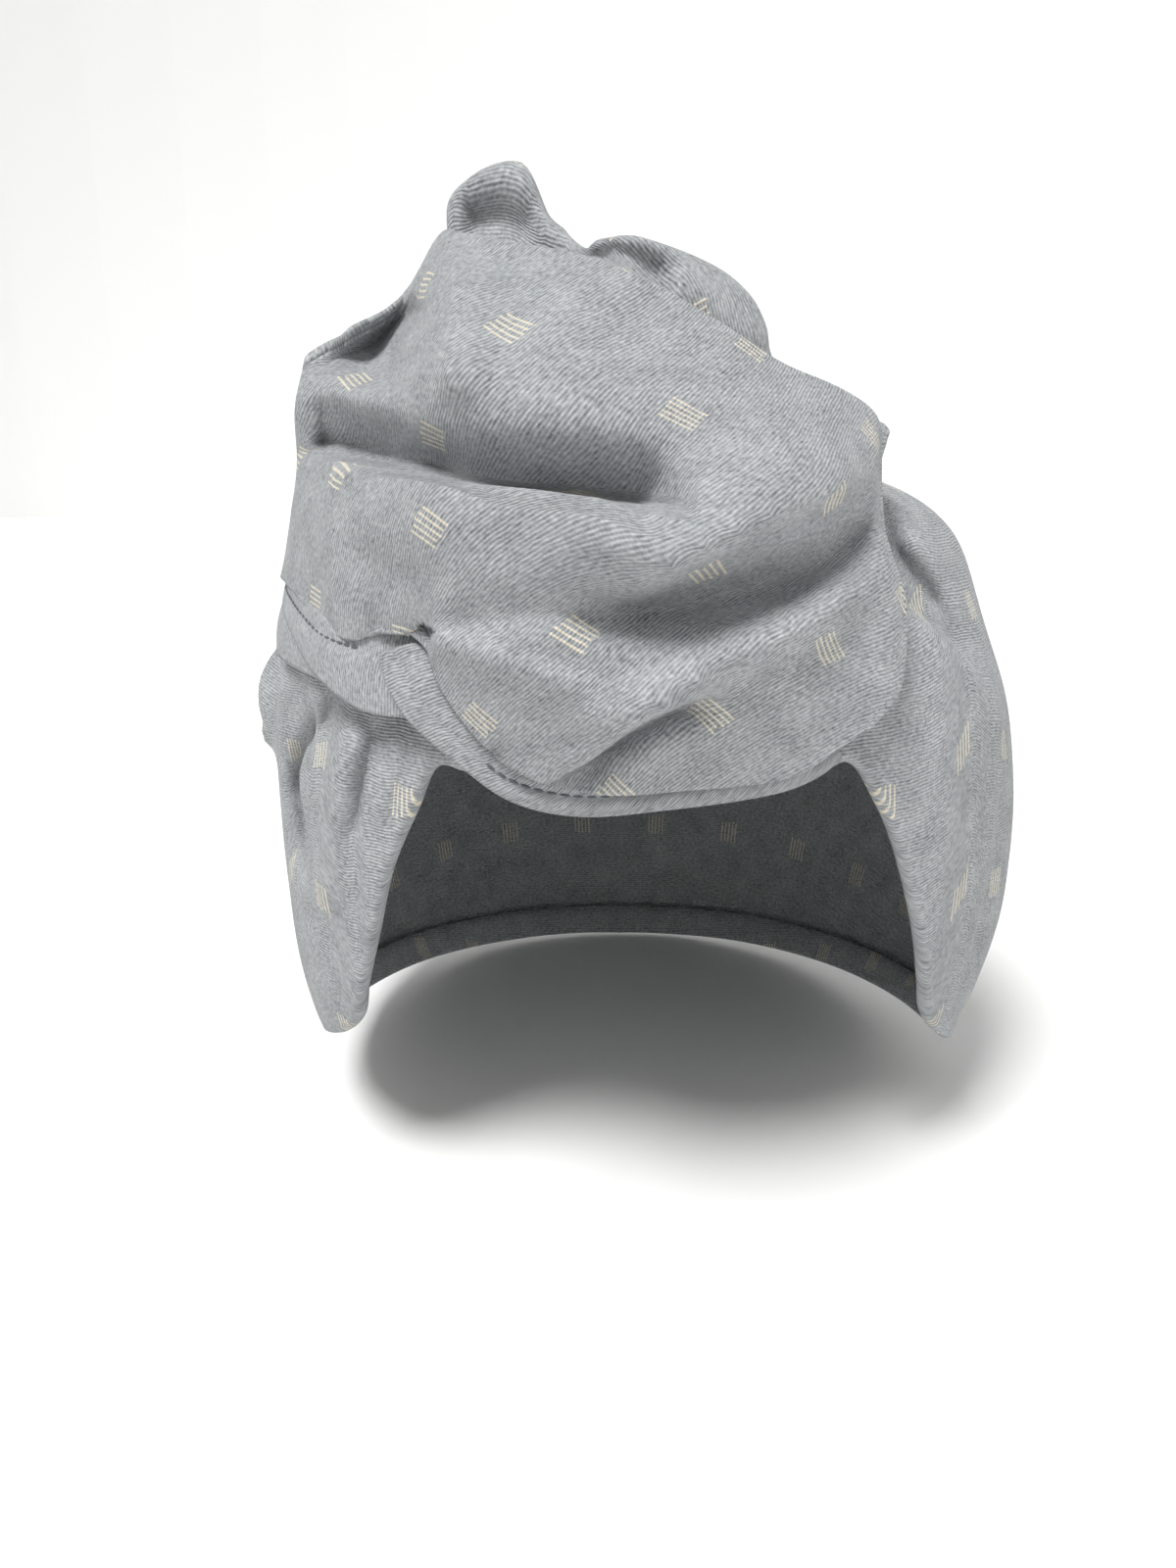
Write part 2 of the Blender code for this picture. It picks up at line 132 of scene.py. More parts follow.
@dataclass(frozen=True)
class Leaf:
    """One line of the back leaf, with points as a section has. The place counts sections from the tail."""

    place: float
    points: tuple[tuple[float, float, float], ...]


@dataclass(frozen=True)
class CapForm:
    """The rounded form of the cap's outer face, measured from the middle of its hollow.

    Its sides swell a little, most at one turn and rise. The wall is the thickness of the solids' cloth.
    """

    half_breadth: float = 0.0885
    front_depth: float = 0.088
    back_depth: float = 0.098
    crown_rise: float = 0.087
    foot_drop: float = 0.100
    right_swell: float = 0.0055
    left_swell: float = -0.0035
    plan_power: float = 2.1
    side_power: float = 2.5
    swell_turn: float = 90.0
    swell_rise: float = -8.0
    swell_spread: float = 32.0
    wall: float = 0.0013

    @property
    def middle(self) -> np.ndarray:
        """Return the middle of the hollow."""
        return np.array((0.0, 0.0, self.wall - self.crown_rise))

    def direction(self, turn: np.ndarray, rise: np.ndarray) -> np.ndarray:
        """Return the unit vectors that turns and rises point along."""
        around, up = np.radians(turn), np.radians(rise)
        return np.stack((np.sin(around) * np.cos(up), -np.cos(around) * np.cos(up), np.sin(up)), axis=-1)

    def bearing(self, points: np.ndarray) -> tuple[np.ndarray, np.ndarray, np.ndarray]:
        """Return where points lie from the middle of the hollow.

        Args:
            points: the points, with three numbers on the last axis.

        Returns:
            Their turns, their rises and their distances.
        """
        off = points - self.middle
        turn = np.degrees(np.arctan2(off[..., 0], -off[..., 1]))
        rise = np.degrees(np.arctan2(off[..., 2], np.hypot(off[..., 0], off[..., 1])))
        return turn, rise, np.linalg.norm(off, axis=-1)

    def reach(self, turn: np.ndarray, rise: np.ndarray) -> np.ndarray:
        """Return how far the cap's outer face is from the middle of the hollow, folds left out.

        Args:
            turn: the turns of some places.
            rise: their rises.

        Returns:
            The distances, in metres.
        """
        along = self.direction(turn, rise)
        depth = np.where(along[..., 1] < 0, self.front_depth, self.back_depth)
        drop = np.where(along[..., 2] > 0, self.crown_rise, self.foot_drop)
        plan = (np.abs(along[..., 0] / self.half_breadth) ** self.plan_power
                + np.abs(along[..., 1] / depth) ** self.plan_power) ** (1 / self.plan_power)
        height = np.abs(along[..., 2] / drop) ** self.side_power
        reach = (plan ** self.side_power + height) ** (-1 / self.side_power)
        swell = np.where(turn > 0, self.right_swell, self.left_swell)
        off = np.hypot(np.abs(turn) - self.swell_turn, rise - self.swell_rise) / self.swell_spread
        return reach + swell * np.exp(-off ** 2)


FORM = CapForm()
GAP = 0.0004
LAYER = FORM.wall + GAP
# The lift of a sheet that lies on the cap, and of one that stands off by a full share of the puff
SEAT = GAP + FORM.wall / 2
PUFF = 0.044
FOLD_RADIUS = 0.0022
FOLD_STEPS = 24

# Turn and rise of the cap's rim, round from the seam at the back
CAP_RIM = (
    (-180, -42), (-130, -41), (-100, -39), (-75, -35), (-56, -28), (-45, -22), (-41.5, -15.5),
    (-38, -7.5), (-34.5, 2.5), (-30.5, 10.5), (-27, 17), (-20, 16.5), (0, 15.5), (20, 16.5), (27, 17.5),
    (31.5, 11.5), (35, 5), (39, -5), (43.5, -16), (46.5, -21.5), (57, -28), (75, -35), (100, -39),
    (130, -41), (180, -42),
)

CAP_FOLDS = {
    "valley from the knot": Fold(((-49, 21), (-60, 11), (-54, -6)), -3.6, 4.0, 5.0),
    "side pleat": Fold(((-76, 21), (-86, 14), (-84, 6)), 5.6, 8.0, 8.0),
    "second valley": Fold(((-102, 18), (-104, 6), (-98, -14)), -2.4, 6.0, 6.0),
    "front gather": Fold(((-38, 20), (-44, 8), (-47, -10)), 1.4, 3.0, 3.0),
    "right swell": Fold(((40, 46), (66, 45), (92, 38)), 4.0, 9.0, 9.0),
    "right crease": Fold(((36, 38), (50, 32), (58, 24)), -3.2, 3.0, 3.5),
    "right ridge": Fold(((38, 30), (52, 24), (60, 12)), 1.8, 5.0, 5.0),
    "right gather": Fold(((62, 10), (60, -6), (56, -18)), -1.4, 3.5, 3.5),
    "back gather": Fold(((-150, -20), (180, -26), (-210, -20)), -1.8, 5.0, 5.0),
}

WRAP_CREASES = {
    "tuck": Crease(((268, 460), (345, 464), (400, 480), (500, 497), (600, 508), (660, 512), (728, 508)), -15.5,
                   48, 9),
    "tuck pocket": Crease(((318, 446), (350, 452), (420, 470), (480, 486)), -6.0, 26, 10),
    "tuck roll": Crease(((312, 482), (345, 488), (400, 502), (500, 516), (600, 527), (665, 526)), 6.0, 9, 50,
                        -2.6),
    "soft crease": Crease(((316, 412), (345, 420), (370, 428), (425, 446)), -2.6, 12, 10),
    "upper ridge": Crease(((600, 628), (690, 564), (750, 534), (800, 508), (850, 487), (897, 462)), 7.5, 62, 18,
                          1.4),
    "long valley": Crease(((560, 628), (650, 622), (720, 611), (800, 587), (860, 552), (900, 500)), -13.0,
                          30, 27),
    "lower ridge": Crease(((560, 742), (620, 728), (700, 692), (760, 668), (820, 640), (872, 603), (907, 570)),
                          5.0, 26, 16),
    "hem crease": Crease(((552, 806), (600, 775), (640, 746), (680, 726), (740, 704)), -6.5, 6, 20),
    "hem crease lip": Crease(((560, 790), (600, 764), (640, 734), (680, 712), (730, 694)), 2.2, 12, 6, 1.2),
    "belly dip": Crease(((620, 285), (690, 390), (750, 480)), -3.4, 60, 60),
    "wing hollow": Crease(((430, 298), (416, 330), (404, 358), (392, 412)), -16.0, 11, 54, 0.0, 2.0, 1.1),
    "cone edge": Crease(((474, 258), (464, 308), (458, 352), (462, 424)), 5.5, 40, 22),
    "knot valley": Crease(((438, 636), (500, 630), (560, 624), (640, 616)), -2.6, 28, 18),
    "knot ray": Crease(((430, 650), (470, 660), (560, 690), (610, 712)), 2.6, 13, 18),
    "pinch": Crease(((505, 755), (510, 775), (512, 800)), -3.0, 6, 6),
    "left dimple": Crease(((330, 560), (400, 585), (470, 600)), -1.6, 24, 24),
    "knot hole": Crease(((439, 638), (434, 648), (429, 660), (425, 676)), -13.0, 8, 9, 0.0, 2.4, 4.0),
    "right round": Crease(((905, 500), (914, 560), (915, 620), (905, 690)), 2.0, 10, 26),
}

CAP_CREASES = {
    "left valley": Crease(((356, 690), (332, 740), (308, 790), (312, 835), (322, 905)), -9.0, 15, 13),
    "left fold": Crease(((372, 722), (352, 790), (342, 860), (348, 940)), 2.6, 12, 10),
    "left gather": Crease(((388, 728), (372, 790), (362, 860)), -1.8, 8, 8),
    "front gather": Crease(((412, 735), (398, 790), (384, 850)), 1.6, 8, 8),
    "outer gather": Crease(((318, 690), (292, 730), (276, 760)), -3.2, 9, 9),
    "right crease": Crease(((896, 490), (912, 560), (940, 592), (968, 632)), -4.6, 14, 10),
    "right ridge": Crease(((916, 540), (945, 570), (980, 640)), 3.0, 14, 12),
    "right fold": Crease(((980, 780), (984, 850), (968, 940)), -2.6, 11, 11),
    "right gather": Crease(((920, 690), (940, 760), (955, 850)), -1.6, 12, 12),
}

LEAF_CREASES = {
    "peak inside": Crease(((470, 236), (510, 228), (556, 242)), -7.0, 34, 20),
    "peak edge": Crease(((544, 140), (560, 184), (578, 236)), 0.0, 16, 12, 2.2),
    "lobe rise": Crease(((612, 262), (660, 258), (720, 286), (775, 325), (800, 350)), 0.0, 26, 24, -2.2),
    "lobe foot": Crease(((606, 252), (640, 268), (690, 300)), -7.0, 14, 18),
    "lobe dent": Crease(((640, 262), (720, 292), (770, 345)), -2.0, 10, 10),
    "slit": Crease(((600, 232), (601, 250), (603, 275)), -7.0, 7, 9),
}

LEAF_FOLDS = {
    "left spine": Fold(((-56, 72.0), (-100, 66.0), (-128, 58.0)), 2.7, 7.0, 7.0),
    "middle valley": Fold(((150, 80.0), (174, 70.0), (178, 58.0)), -3.6, 6.0, 6.0),
    "right spine": Fold(((60, 66.0), (100, 64.0), (128, 58.0)), 2.7, 7.0, 7.0),
}

WRAP_SECTIONS = {
    "tail": Section(0.0, 0, ((-152, 35, 0), (-152, 36.2, 0), (-151, 37.4, 0), (-151, 38.6, 0),
                             (-150, 39.8, 0), (-150, 41, 0))),
    "turn": Section(2.0, 0, ((-122, 33, 0), (-121, 35.5, 0.04), (-120, 38.5, 0.08), (-119, 42, 0.08),
                             (-118, 46, 0.04), (-117, 49.5, 0))),
    "side": Section(2.5, 0, ((-93, 31.8, 0.05), (-92, 35, 0.10), (-91, 40, 0.17), (-90, 45, 0.24),
                             (-89, 51, 0.32), (-88, 57, 0.38))),
    "left": Section(2.6, 0, ((-69, 33.8, 0.14), (-67, 37, 0.19), (-66, 41, 0.28), (-65, 45, 0.39),
                             (-63, 48.4, 0.56), (-63.5, 51.3, 0.665))),
    "wing": Section(2.6, 0, ((-42, 28.7, 0.13), (-41, 32.4, 0.25), (-41.5, 37.3, 0.36), (-47.5, 44.8, 0.46),
                             (-52.5, 49.8, 0.62), (-57, 55.2, 0.735))),
    "hollow": Section(4.1, 0, ((-33.3, 29, 0.16), (-31.5, 32.4, 0.29), (-31, 37, 0.44), (-35.5, 43.6, 0.48),
                               (-43, 50.6, 0.60), (-56.5, 61.0, 0.75))),
    "cone": Section(4.6, 0.5, ((-26.5, 28.5, 0.20), (-24.5, 31.6, 0.38), (-24, 35.3, 0.53), (-27.5, 42, 0.56),
                               (-36.5, 52.5, 0.66), (-42, 63.8, 0.98))),
    "knot": Section(4.0, 1, ((-23, 23.5, 0.17), (-20.3, 28.2, 0.38), (-19, 33.9, 0.58), (-21, 40.4, 0.61),
                             (-25.5, 50, 0.76), (-33.5, 62.6, 0.99))),
    "left front": Section(2.4, 1, ((-15.5, 17, 0.15), (-14, 24.2, 0.37), (-13.2, 31.6, 0.58), (-14.2, 39, 0.65),
                             (-16.6, 48, 0.78), (-23, 61, 0.96))),
    "middle": Section(1.6, 1, ((-6.5, 14.4, 0.13), (-6.1, 23.6, 0.36), (-5.9, 31, 0.57), (-6.2, 38.3, 0.67),
                               (-6.8, 46.5, 0.79), (-9, 59.2, 0.92))),
    "fore": Section(1.6, 1, ((4.2, 14.8, 0.12), (3.5, 23, 0.32), (3.1, 31, 0.51), (3.2, 38, 0.62),
                             (3.8, 46, 0.69), (5.7, 57.2, 0.77))),
    "right": Section(1.6, 1, ((15.7, 15.5, 0.09), (15.4, 23.3, 0.21), (15.5, 31.5, 0.36), (16.2, 38.4, 0.48),
                               (17.7, 45, 0.54), (21.5, 54.7, 0.58))),
    "corner": Section(1.6, 0.8, ((22.0, 18.0, 0.12), (27, 24, 0.15), (29.4, 33, 0.19), (30, 41.2, 0.29),
                                 (32.6, 46.6, 0.38), (38, 52.6, 0.45))),
    "edge": Section(0.0, 0, ((25.8, 19.8, 0.14), (31.0, 24.2, 0.13), (34.8, 32.6, 0.13), (36.0, 41.6, 0.18),
                             (38.2, 47.5, 0.30), (44.3, 51.5, 0.325))),
    "under": Section(0.0, 0, ((26.2, 23.5, 0), (27, 26.5, 0), (29, 33, 0), (29.5, 40, 0.04),
                              (32.0, 46, 0.10), (37.5, 51.0, 0.14))),
}

LEAF_SECTIONS = (
    Leaf(5.9, ((-72, 73, 0.46), (-95, 67, 0.30), (-114, 60, 0.10), (-126, 51, 0))),
    Leaf(6.2, ((-51, 68.6, 1.02), (-96, 69, 0.66), (-118, 61, 0.28), (-134, 49, 0))),
    Leaf(6.8, ((-44, 70.0, 1.19), (-104, 74, 0.84), (-134, 65, 0.38), (-146, 47, 0))),
    Leaf(7.8, ((-32, 71.8, 1.22), (-124, 79, 0.78), (-156, 67, 0.38), (-160, 46, 0))),
    Leaf(8.5, ((-23, 70.0, 1.01), (-158, 81, 0.64), (-170, 67, 0.34), (-170, 46, 0))),
    Leaf(9.0, ((-12, 65.4, 0.88), (-178, 80, 0.58), (-180, 66, 0.26), (-180, 46, 0))),
    Leaf(9.3, ((-7, 67.4, 0.90), (172, 80, 0.60), (174, 66, 0.30), (172, 46, 0))),
    Leaf(10.2, ((10, 68.2, 0.80), (144, 78, 0.56), (156, 65, 0.32), (156, 46, 0))),
    Leaf(10.8, ((24, 66.4, 0.66), (122, 74, 0.42), (136, 62, 0.24), (142, 47, 0))),
    Leaf(11.3, ((33, 60.5, 0.38), (90, 67, 0.24), (112, 58, 0.12), (126, 48, 0))),
    Leaf(12.0, ((50, 54, 0.17), (68, 54, 0.09), (92, 52, 0.03), (112, 48, 0))),
)
LEAF_FOOT = np.array((0.0, 0.012, -0.007))

# A row of a band: low turn, low rise, high turn, high rise, layers of cloth under it
HEM_BAND = (
    (-32.8, 27.2, -27.8, 28.4, 3.4), (-32.3, 25.8, -26.4, 28.0, 3.1), (-31.0, 23.8, -25.0, 27.0, 2.9),
    (-27.8, 20.6, -22.6, 24.4, 2.6), (-22.2, 17.0, -18.4, 21.0, 1.6), (-15.6, 13.2, -14.6, 18.2, 0.7),
    (-7.6, 11.9, -7.4, 17.0, 0.1), (3.6, 12.9, 3.4, 17.6, 0.1), (14.4, 14.0, 13.8, 18.8, 0.1),
    (20.0, 15.4, 18.8, 19.6, 0.1), (23.6, 17.3, 21.8, 20.2, 0.1),
)
KNOT_BAND = (
    (-27.5, 21.0, -27.5, 31.5, 2.2), (-33.0, 20.8, -33.0, 32.5, 2.6), (-38.5, 21.8, -38.5, 33.0, 2.5),
    (-46.0, 24.2, -46.0, 33.5, 2.0), (-54.0, 27.2, -54.0, 35.0, 1.5), (-63.0, 29.8, -63.0, 36.5, 1.5),
    (-72.0, 31.6, -72.0, 37.0, 1.5), (-80.0, 33.0, -80.0, 37.0, 1.5),
)
SIDE_TUCK = (
    (-43.0, 23.2, -43.0, 28.5, 0.4), (-50.0, 24.0, -50.0, 31.0, 0.3), (-58.0, 24.4, -58.0, 33.5, 0.4),
    (-66.0, 25.0, -66.0, 34.5, 0.4), (-76.0, 26.8, -76.0, 35.5, 0.4), (-90.0, 30.0, -90.0, 36.5, 0.4),
    (-104.0, 33.5, -104.0, 37.0, 0.4),
)


def placed(name: str, data: bpy.types.ID) -> bpy.types.Object:
    """Return a new object of some data, put in the scene."""
    thing = bpy.data.objects.new(name, data)
    bpy.context.scene.collection.objects.link(thing)
    return thing


def edit_all(change: Callable[..., object], **settings: object) -> None:
    """Run an edit mode operator on the whole of the active mesh.

    Args:
        change: the operator.
        settings: its own settings, by name.
    """
    bpy.ops.object.mode_set(mode="EDIT")
    bpy.ops.mesh.select_all(action="SELECT")
    change(**settings)
    bpy.ops.object.mode_set(mode="OBJECT")


def spline(points: np.ndarray, places: np.ndarray) -> np.ndarray:
    """Return points of the smooth curve through some points.

    Args:
        points: the points that the curve passes, along the first axis.
        places: how many spans from the first point each wanted point is.

    Returns:
        The wanted points, along the first axis.
    """
    last = len(points) - 1
    span = np.minimum(places.astype(int), last - 1)
    share = (places - span).reshape((-1,) + (1,) * (points.ndim - 1))
    padded = np.concatenate((points[:1] * 2 - points[1:2], points, points[-1:] * 2 - points[-2:-1]))
    before, start, end, after = (padded[span + step] for step in range(4))
    return 0.5 * (start * 2 + (end - before) * share + (before * 2 - start * 5 + end * 4 - after) * share ** 2
                  + (start * 3 - before - end * 3 + after) * share ** 3)


def turns_apart(first: np.ndarray, second: float) -> np.ndarray:
    """Return how far turns are from another, the short way round and with their sign."""
    return (first - second + 180.0) % 360.0 - 180.0


def beside(spot: np.ndarray, line: np.ndarray) -> tuple[np.ndarray, np.ndarray, np.ndarray, np.ndarray]:
    """Return how places lie beside a smooth line.

    Args:
        spot: the places, with two numbers on the last axis.
        line: the line's points.

    Returns:
        Each place's distance from the line, its signed side, its share of the way along, and the unit vector
        across the line there.
    """
    curve = spline(line, np.linspace(0.0, len(line) - 1.0, FOLD_STEPS + 1))
    nearest = np.full(spot.shape[:-1], np.inf)
    side, along, way = np.zeros(nearest.shape), np.zeros(nearest.shape), np.zeros(spot.shape)
    for step in range(FOLD_STEPS):
        run = curve[step + 1] - curve[step]
        share = np.clip(((spot - curve[step]) @ run) / (run @ run), 0.0, 1.0)
        off = spot - (curve[step] + share[..., None] * run)
        distance = np.hypot(off[..., 0], off[..., 1])
        closer = distance < nearest
        nearest = np.where(closer, distance, nearest)
        side = np.where(closer, run[0] * off[..., 1] - run[1] * off[..., 0], side)
        along = np.where(closer, (step + share) / FOLD_STEPS, along)
        way[closer] = np.array((-run[1], run[0])) / math.hypot(*run)
    return nearest, side, along, way


def strength(fold: Fold | Crease, nearest: np.ndarray, width: np.ndarray, along: np.ndarray) -> np.ndarray:
    """Return the share of its height that a fold has at some places.

    Args:
        fold: the fold or the crease.
        nearest: how far each place is from its line.
        width: its width on that side of the line, in the same unit.
        along: how far along the line each place is, from 0 to 1.

    Returns:
        The shares, from 0 to 1. They fall away smoothly towards both ends of the line.
    """
    fade = np.clip(np.sin(math.pi * along) * fold.fade, 0.0, 1.0)
    return np.exp(-(nearest / width) ** fold.power) * fade * fade * (3.0 - 2.0 * fade)


def fold_share(fold: Fold, turn: np.ndarray, rise: np.ndarray) -> np.ndarray:
    """Return the share of a fold's height that reaches some places.

    Args:
        fold: the fold.
        turn: the turns of the places.
        rise: their rises.

    Returns:
        The shares, from 0 to 1.
    """
    line = np.array(fold.line, float)
    middle = fold.line[len(fold.line) // 2]
    across = math.cos(math.radians(middle[1]))
    line[:, 0] = turns_apart(line[:, 0], middle[0]) * across
    spot = np.stack((turns_apart(turn, middle[0]) * across, rise), axis=-1)
    nearest, side, along, _ = beside(spot, line)
    leftwards = line[-1, 0] < line[0, 0]
    width = np.where((side > 0) != leftwards, fold.above, fold.below)
    return strength(fold, nearest, width, along)


def fold_height(folds: dict[str, Fold], turn: np.ndarray, rise: np.ndarray) -> np.ndarray:
    """Return the height of all the folds of a piece at some places, in metres."""
    return sum(fold.height * MM * fold_share(fold, turn, rise) for fold in folds.values())


def cap_face(turn: np.ndarray, rise: np.ndarray) -> np.ndarray:
    """Return how far the cap's outer face is from the middle of the hollow, with its folds."""
    return FORM.reach(turn, rise) + fold_height(CAP_FOLDS, turn, rise)


def on_cap(turn: np.ndarray, rise: np.ndarray, lift: np.ndarray) -> np.ndarray:
    """Return the points that stand off the cap's outer face by some lifts."""
    return FORM.middle + FORM.direction(turn, rise) * (cap_face(turn, rise) + lift)[..., None]


def at(places: np.ndarray) -> np.ndarray:
    """Return the points at an array of turn, rise and lift."""
    places = np.asarray(places, float)
    return on_cap(places[..., 0], places[..., 1], places[..., 2])


def steps_along(rows: np.ndarray, step: float) -> np.ndarray:
    """Return the places where steps of about one length begin.

    Args:
        rows: a net of points, which is walked along its first axis.
        step: the wanted length of a step, in metres.

    Returns:
        The places, counted in rows from the first.
    """
    places = [0.0]
    for span in range(len(rows) - 1):
        length = np.linalg.norm(rows[span + 1] - rows[span], axis=-1).max()
        pieces = max(1, round(length / step))
        places += [span + (piece + 1) / pieces for piece in range(pieces)]
    return np.array(places)


def woven(rows: np.ndarray, along_step: float,
          across_step: float) -> tuple[np.ndarray, np.ndarray, np.ndarray]:
    """Return a fine net of points through a coarse one.

    Args:
        rows: the coarse net, rows by columns by three.
        along_step: the wanted distance between rows.
        across_step: the wanted distance between columns.

    Returns:
        The fine net, and the places of its rows and of its columns in the coarse one.
    """
    along = steps_along(rows, along_step)
    across = steps_along(rows.transpose(1, 0, 2), across_step)
    fine = spline(rows, along)
    fine = spline(fine.transpose(1, 0, 2), across).transpose(1, 0, 2)
    return fine, along, across


def unit(vectors: np.ndarray) -> np.ndarray:
    """Return vectors with their lengths made one."""
    return vectors / np.maximum(np.linalg.norm(vectors, axis=-1, keepdims=True), TINY)


@dataclass(frozen=True)
class Wrinkles:
    """Small soft wrinkles: their width and depth in metres, and a number that sets their own pattern."""

    size: float
    depth: float
    seed: float

    def on(self, points: np.ndarray) -> np.ndarray:
        """Return points moved in and out by soft noise.

        Args:
            points: the points of a net.

        Returns:
            The moved points.
        """
        flat = points.reshape(-1, 3)
        drift = Vector((self.seed, -self.seed, self.seed * 0.5))
        amounts = np.array([noise.noise(Vector(point) / self.size + drift) for point in flat])
        moved = flat + unit(flat - FORM.middle) * (amounts * self.depth)[:, None]
        return moved.reshape(points.shape)


def turned_edge(net: np.ndarray, radius: float, turned: np.ndarray, tail: float,
                steps: int = 7) -> np.ndarray:
    """Return columns of points that carry a net's last column round a small radius and back inside.

    Args:
        net: the net, rows by columns by three.
        radius: the radius that the cloth turns round.
        turned: for each row, the share of a half turn that it makes.
        tail: the length of cloth that lies inside, past the turn.
        steps: how many columns the turn takes.

    Returns:
        The new columns, to stand after the net's last.
    """
    last = net[:, -1]
    onward = unit(last - net[:, -4])
    inward = unit(FORM.middle - last)
    inward = unit(inward - onward * np.sum(inward * onward, axis=-1, keepdims=True))
    columns = []
    for step in range(1, steps + 1):
        angle = (math.pi * turned * step / steps)[:, None]
        columns.append(last + (onward * np.sin(angle) + inward * (1.0 - np.cos(angle))) * radius)
    end = (math.pi * turned)[:, None]
    heading = onward * np.cos(end) + inward * np.sin(end)
    columns += [columns[-1] + heading * tail * share for share in (0.5, 1.0)]
    return np.stack(columns, axis=1)


@dataclass(frozen=True)
class Camera:
    """The camera of the photograph: its place, its tilt down, and its lens for a frame 36 mm on its long side.

    Creases are drawn in its picture, and die out over crease_reach, in metres, behind the middle.
    """

    place: tuple[float, float, float] = (-0.0105, -0.291, -0.007)
    tilt: float = 15.0
    lens: float = 27.0
    frame_side: float = 36.0
    picture: tuple[int, int] = (1200, 1600)
    crease_reach: float = 0.03

    @property
    def focal(self) -> float:
        """Return the lens's length in pixels of the picture."""
        return self.lens / self.frame_side * self.picture[1]

    def picture_places(self, points: np.ndarray) -> np.ndarray:
        """Return where points show in the picture.

        Args:
            points: the points, with three numbers on the last axis.

        Returns:
            Their pixels, right and down from the picture's top left.
        """
        off = points - np.array(self.place)
        tilt = math.radians(self.tilt)
        depth = off[..., 1] * math.cos(tilt) - off[..., 2] * math.sin(tilt)
        down = -off[..., 1] * math.sin(tilt) - off[..., 2] * math.cos(tilt)
        return np.stack((self.picture[0] / 2 + self.focal * off[..., 0] / depth,
                         self.picture[1] / 2 + self.focal * down / depth), axis=-1)

    def creased(self, points: np.ndarray, creases: dict[str, Crease]) -> tuple[np.ndarray, np.ndarray]:
        """Return how far creases move some points: in or out, and across their lines.

        Args:
            points: the points of a net. Those at the back stay where they are.
            creases: the creases as they show in the picture.

        Returns:
            The two moves, in metres.
        """
        shown = self.picture_places(points)
        out = unit(np.array(self.place) - points)
        front = np.clip((self.crease_reach - points[..., 1]) / self.crease_reach, 0.0, 1.0)
        tilt = math.radians(self.tilt)
        right, down = np.array((1.0, 0.0, 0.0)), np.array((0.0, -math.sin(tilt), -math.cos(tilt)))
        height, slide = np.zeros(points.shape), np.zeros(points.shape)
        for crease in creases.values():
            nearest, side, along, way = beside(shown, np.array(crease.line, float))
            width = np.where(side > 0, crease.below, crease.above)
            share = (strength(crease, nearest, width, along) * front)[..., None] * MM
            height += out * crease.height * share
            slide += (right * way[..., :1] + down * way[..., 1:]) * crease.slide * share
        return height, slide

    def build(self) -> None:
        """Make the camera and look through it."""
        data = bpy.data.cameras.new("photo_camera")
        data.lens = self.lens
        data.sensor_width = self.frame_side
        data.clip_start = 0.01
        camera = placed("photo_camera", data)
        camera.location = self.place
        camera.rotation_euler = (math.radians(90 - self.tilt), 0.0, 0.0)
        bpy.context.scene.camera = camera


CAMERA = Camera()


@dataclass(frozen=True)
class Lay:
    """How the weave lies on a piece: two picture places that its ribs join, the first on a group of dashes.

    The shear is how far the pull on the cloth has slid its dashes along the ribs, per length across them.
    """

    start: tuple[float, float]
    end: tuple[float, float]
    shear: float = 0.0


WRAP_LAY = Lay((520, 337), (600, 286), 0.3)
LEAF_LAY = Lay((684, 282), (724, 292))


def linear(code: str) -> tuple[float, float, float, float]:
    """Return the linear colour of an sRGB hex code, such as "#C4C6C8", by the sRGB curve."""
    parts = [int(code[step:step + 2], 16) / 255 for step in (1, 3, 5)]
    red, green, blue = (part / 12.92 if part <= 0.04045 else ((part + 0.055) / 1.055) ** 2.4 for part in parts)
    return red, green, blue, 1.0


def new_material(name: str,
                 roughness: float) -> tuple[bpy.types.Material, bpy.types.NodeTree, bpy.types.Node]:
    """Make a material that has its shader alone.

    Args:
        name: the material's name.
        roughness: how rough its surface is, from 0 to 1.

    Returns:
        The material, its nodes and its shader.
    """
    material = bpy.data.materials.new(name)
    material.use_nodes = True
    shader = material.node_tree.nodes["Principled BSDF"]
    shader.inputs["Roughness"].default_value = roughness
    return material, material.node_tree, shader


def add_node(tree: bpy.types.NodeTree, kind: str, settings: dict | None = None,
             inputs: dict | None = None) -> bpy.types.Node:
    """Add a node with its settings and links.

    Args:
        tree: the material's nodes.
        kind: the node's type.
        settings: values of the node's own settings, by name.
        inputs: what feeds each input, by the input's name or number: a number or colour, a socket, or a node
            whose first output is meant.

    Returns:
        The node.
    """
    node = tree.nodes.new(kind)
    for name, value in (settings or {}).items():
        setattr(node, name, value)
    for name, value in (inputs or {}).items():
        if isinstance(value, bpy.types.Node):
            value = value.outputs[0]
        if isinstance(value, bpy.types.NodeSocket):
            tree.links.new(value, node.inputs[name])
        else:
            node.inputs[name].default_value = value
    return node


MATH = "ShaderNodeMath"
NOISE = "ShaderNodeTexNoise"
PLUS, LESS, TIMES = {"operation": "ADD"}, {"operation": "SUBTRACT"}, {"operation": "MULTIPLY"}
TIMES_PLUS, WAVE = {"operation": "MULTIPLY_ADD"}, {"operation": "SINE"}
BELOW, BOUNCE, REST = {"operation": "LESS_THAN"}, {"operation": "PINGPONG"}, {"operation": "MODULO"}


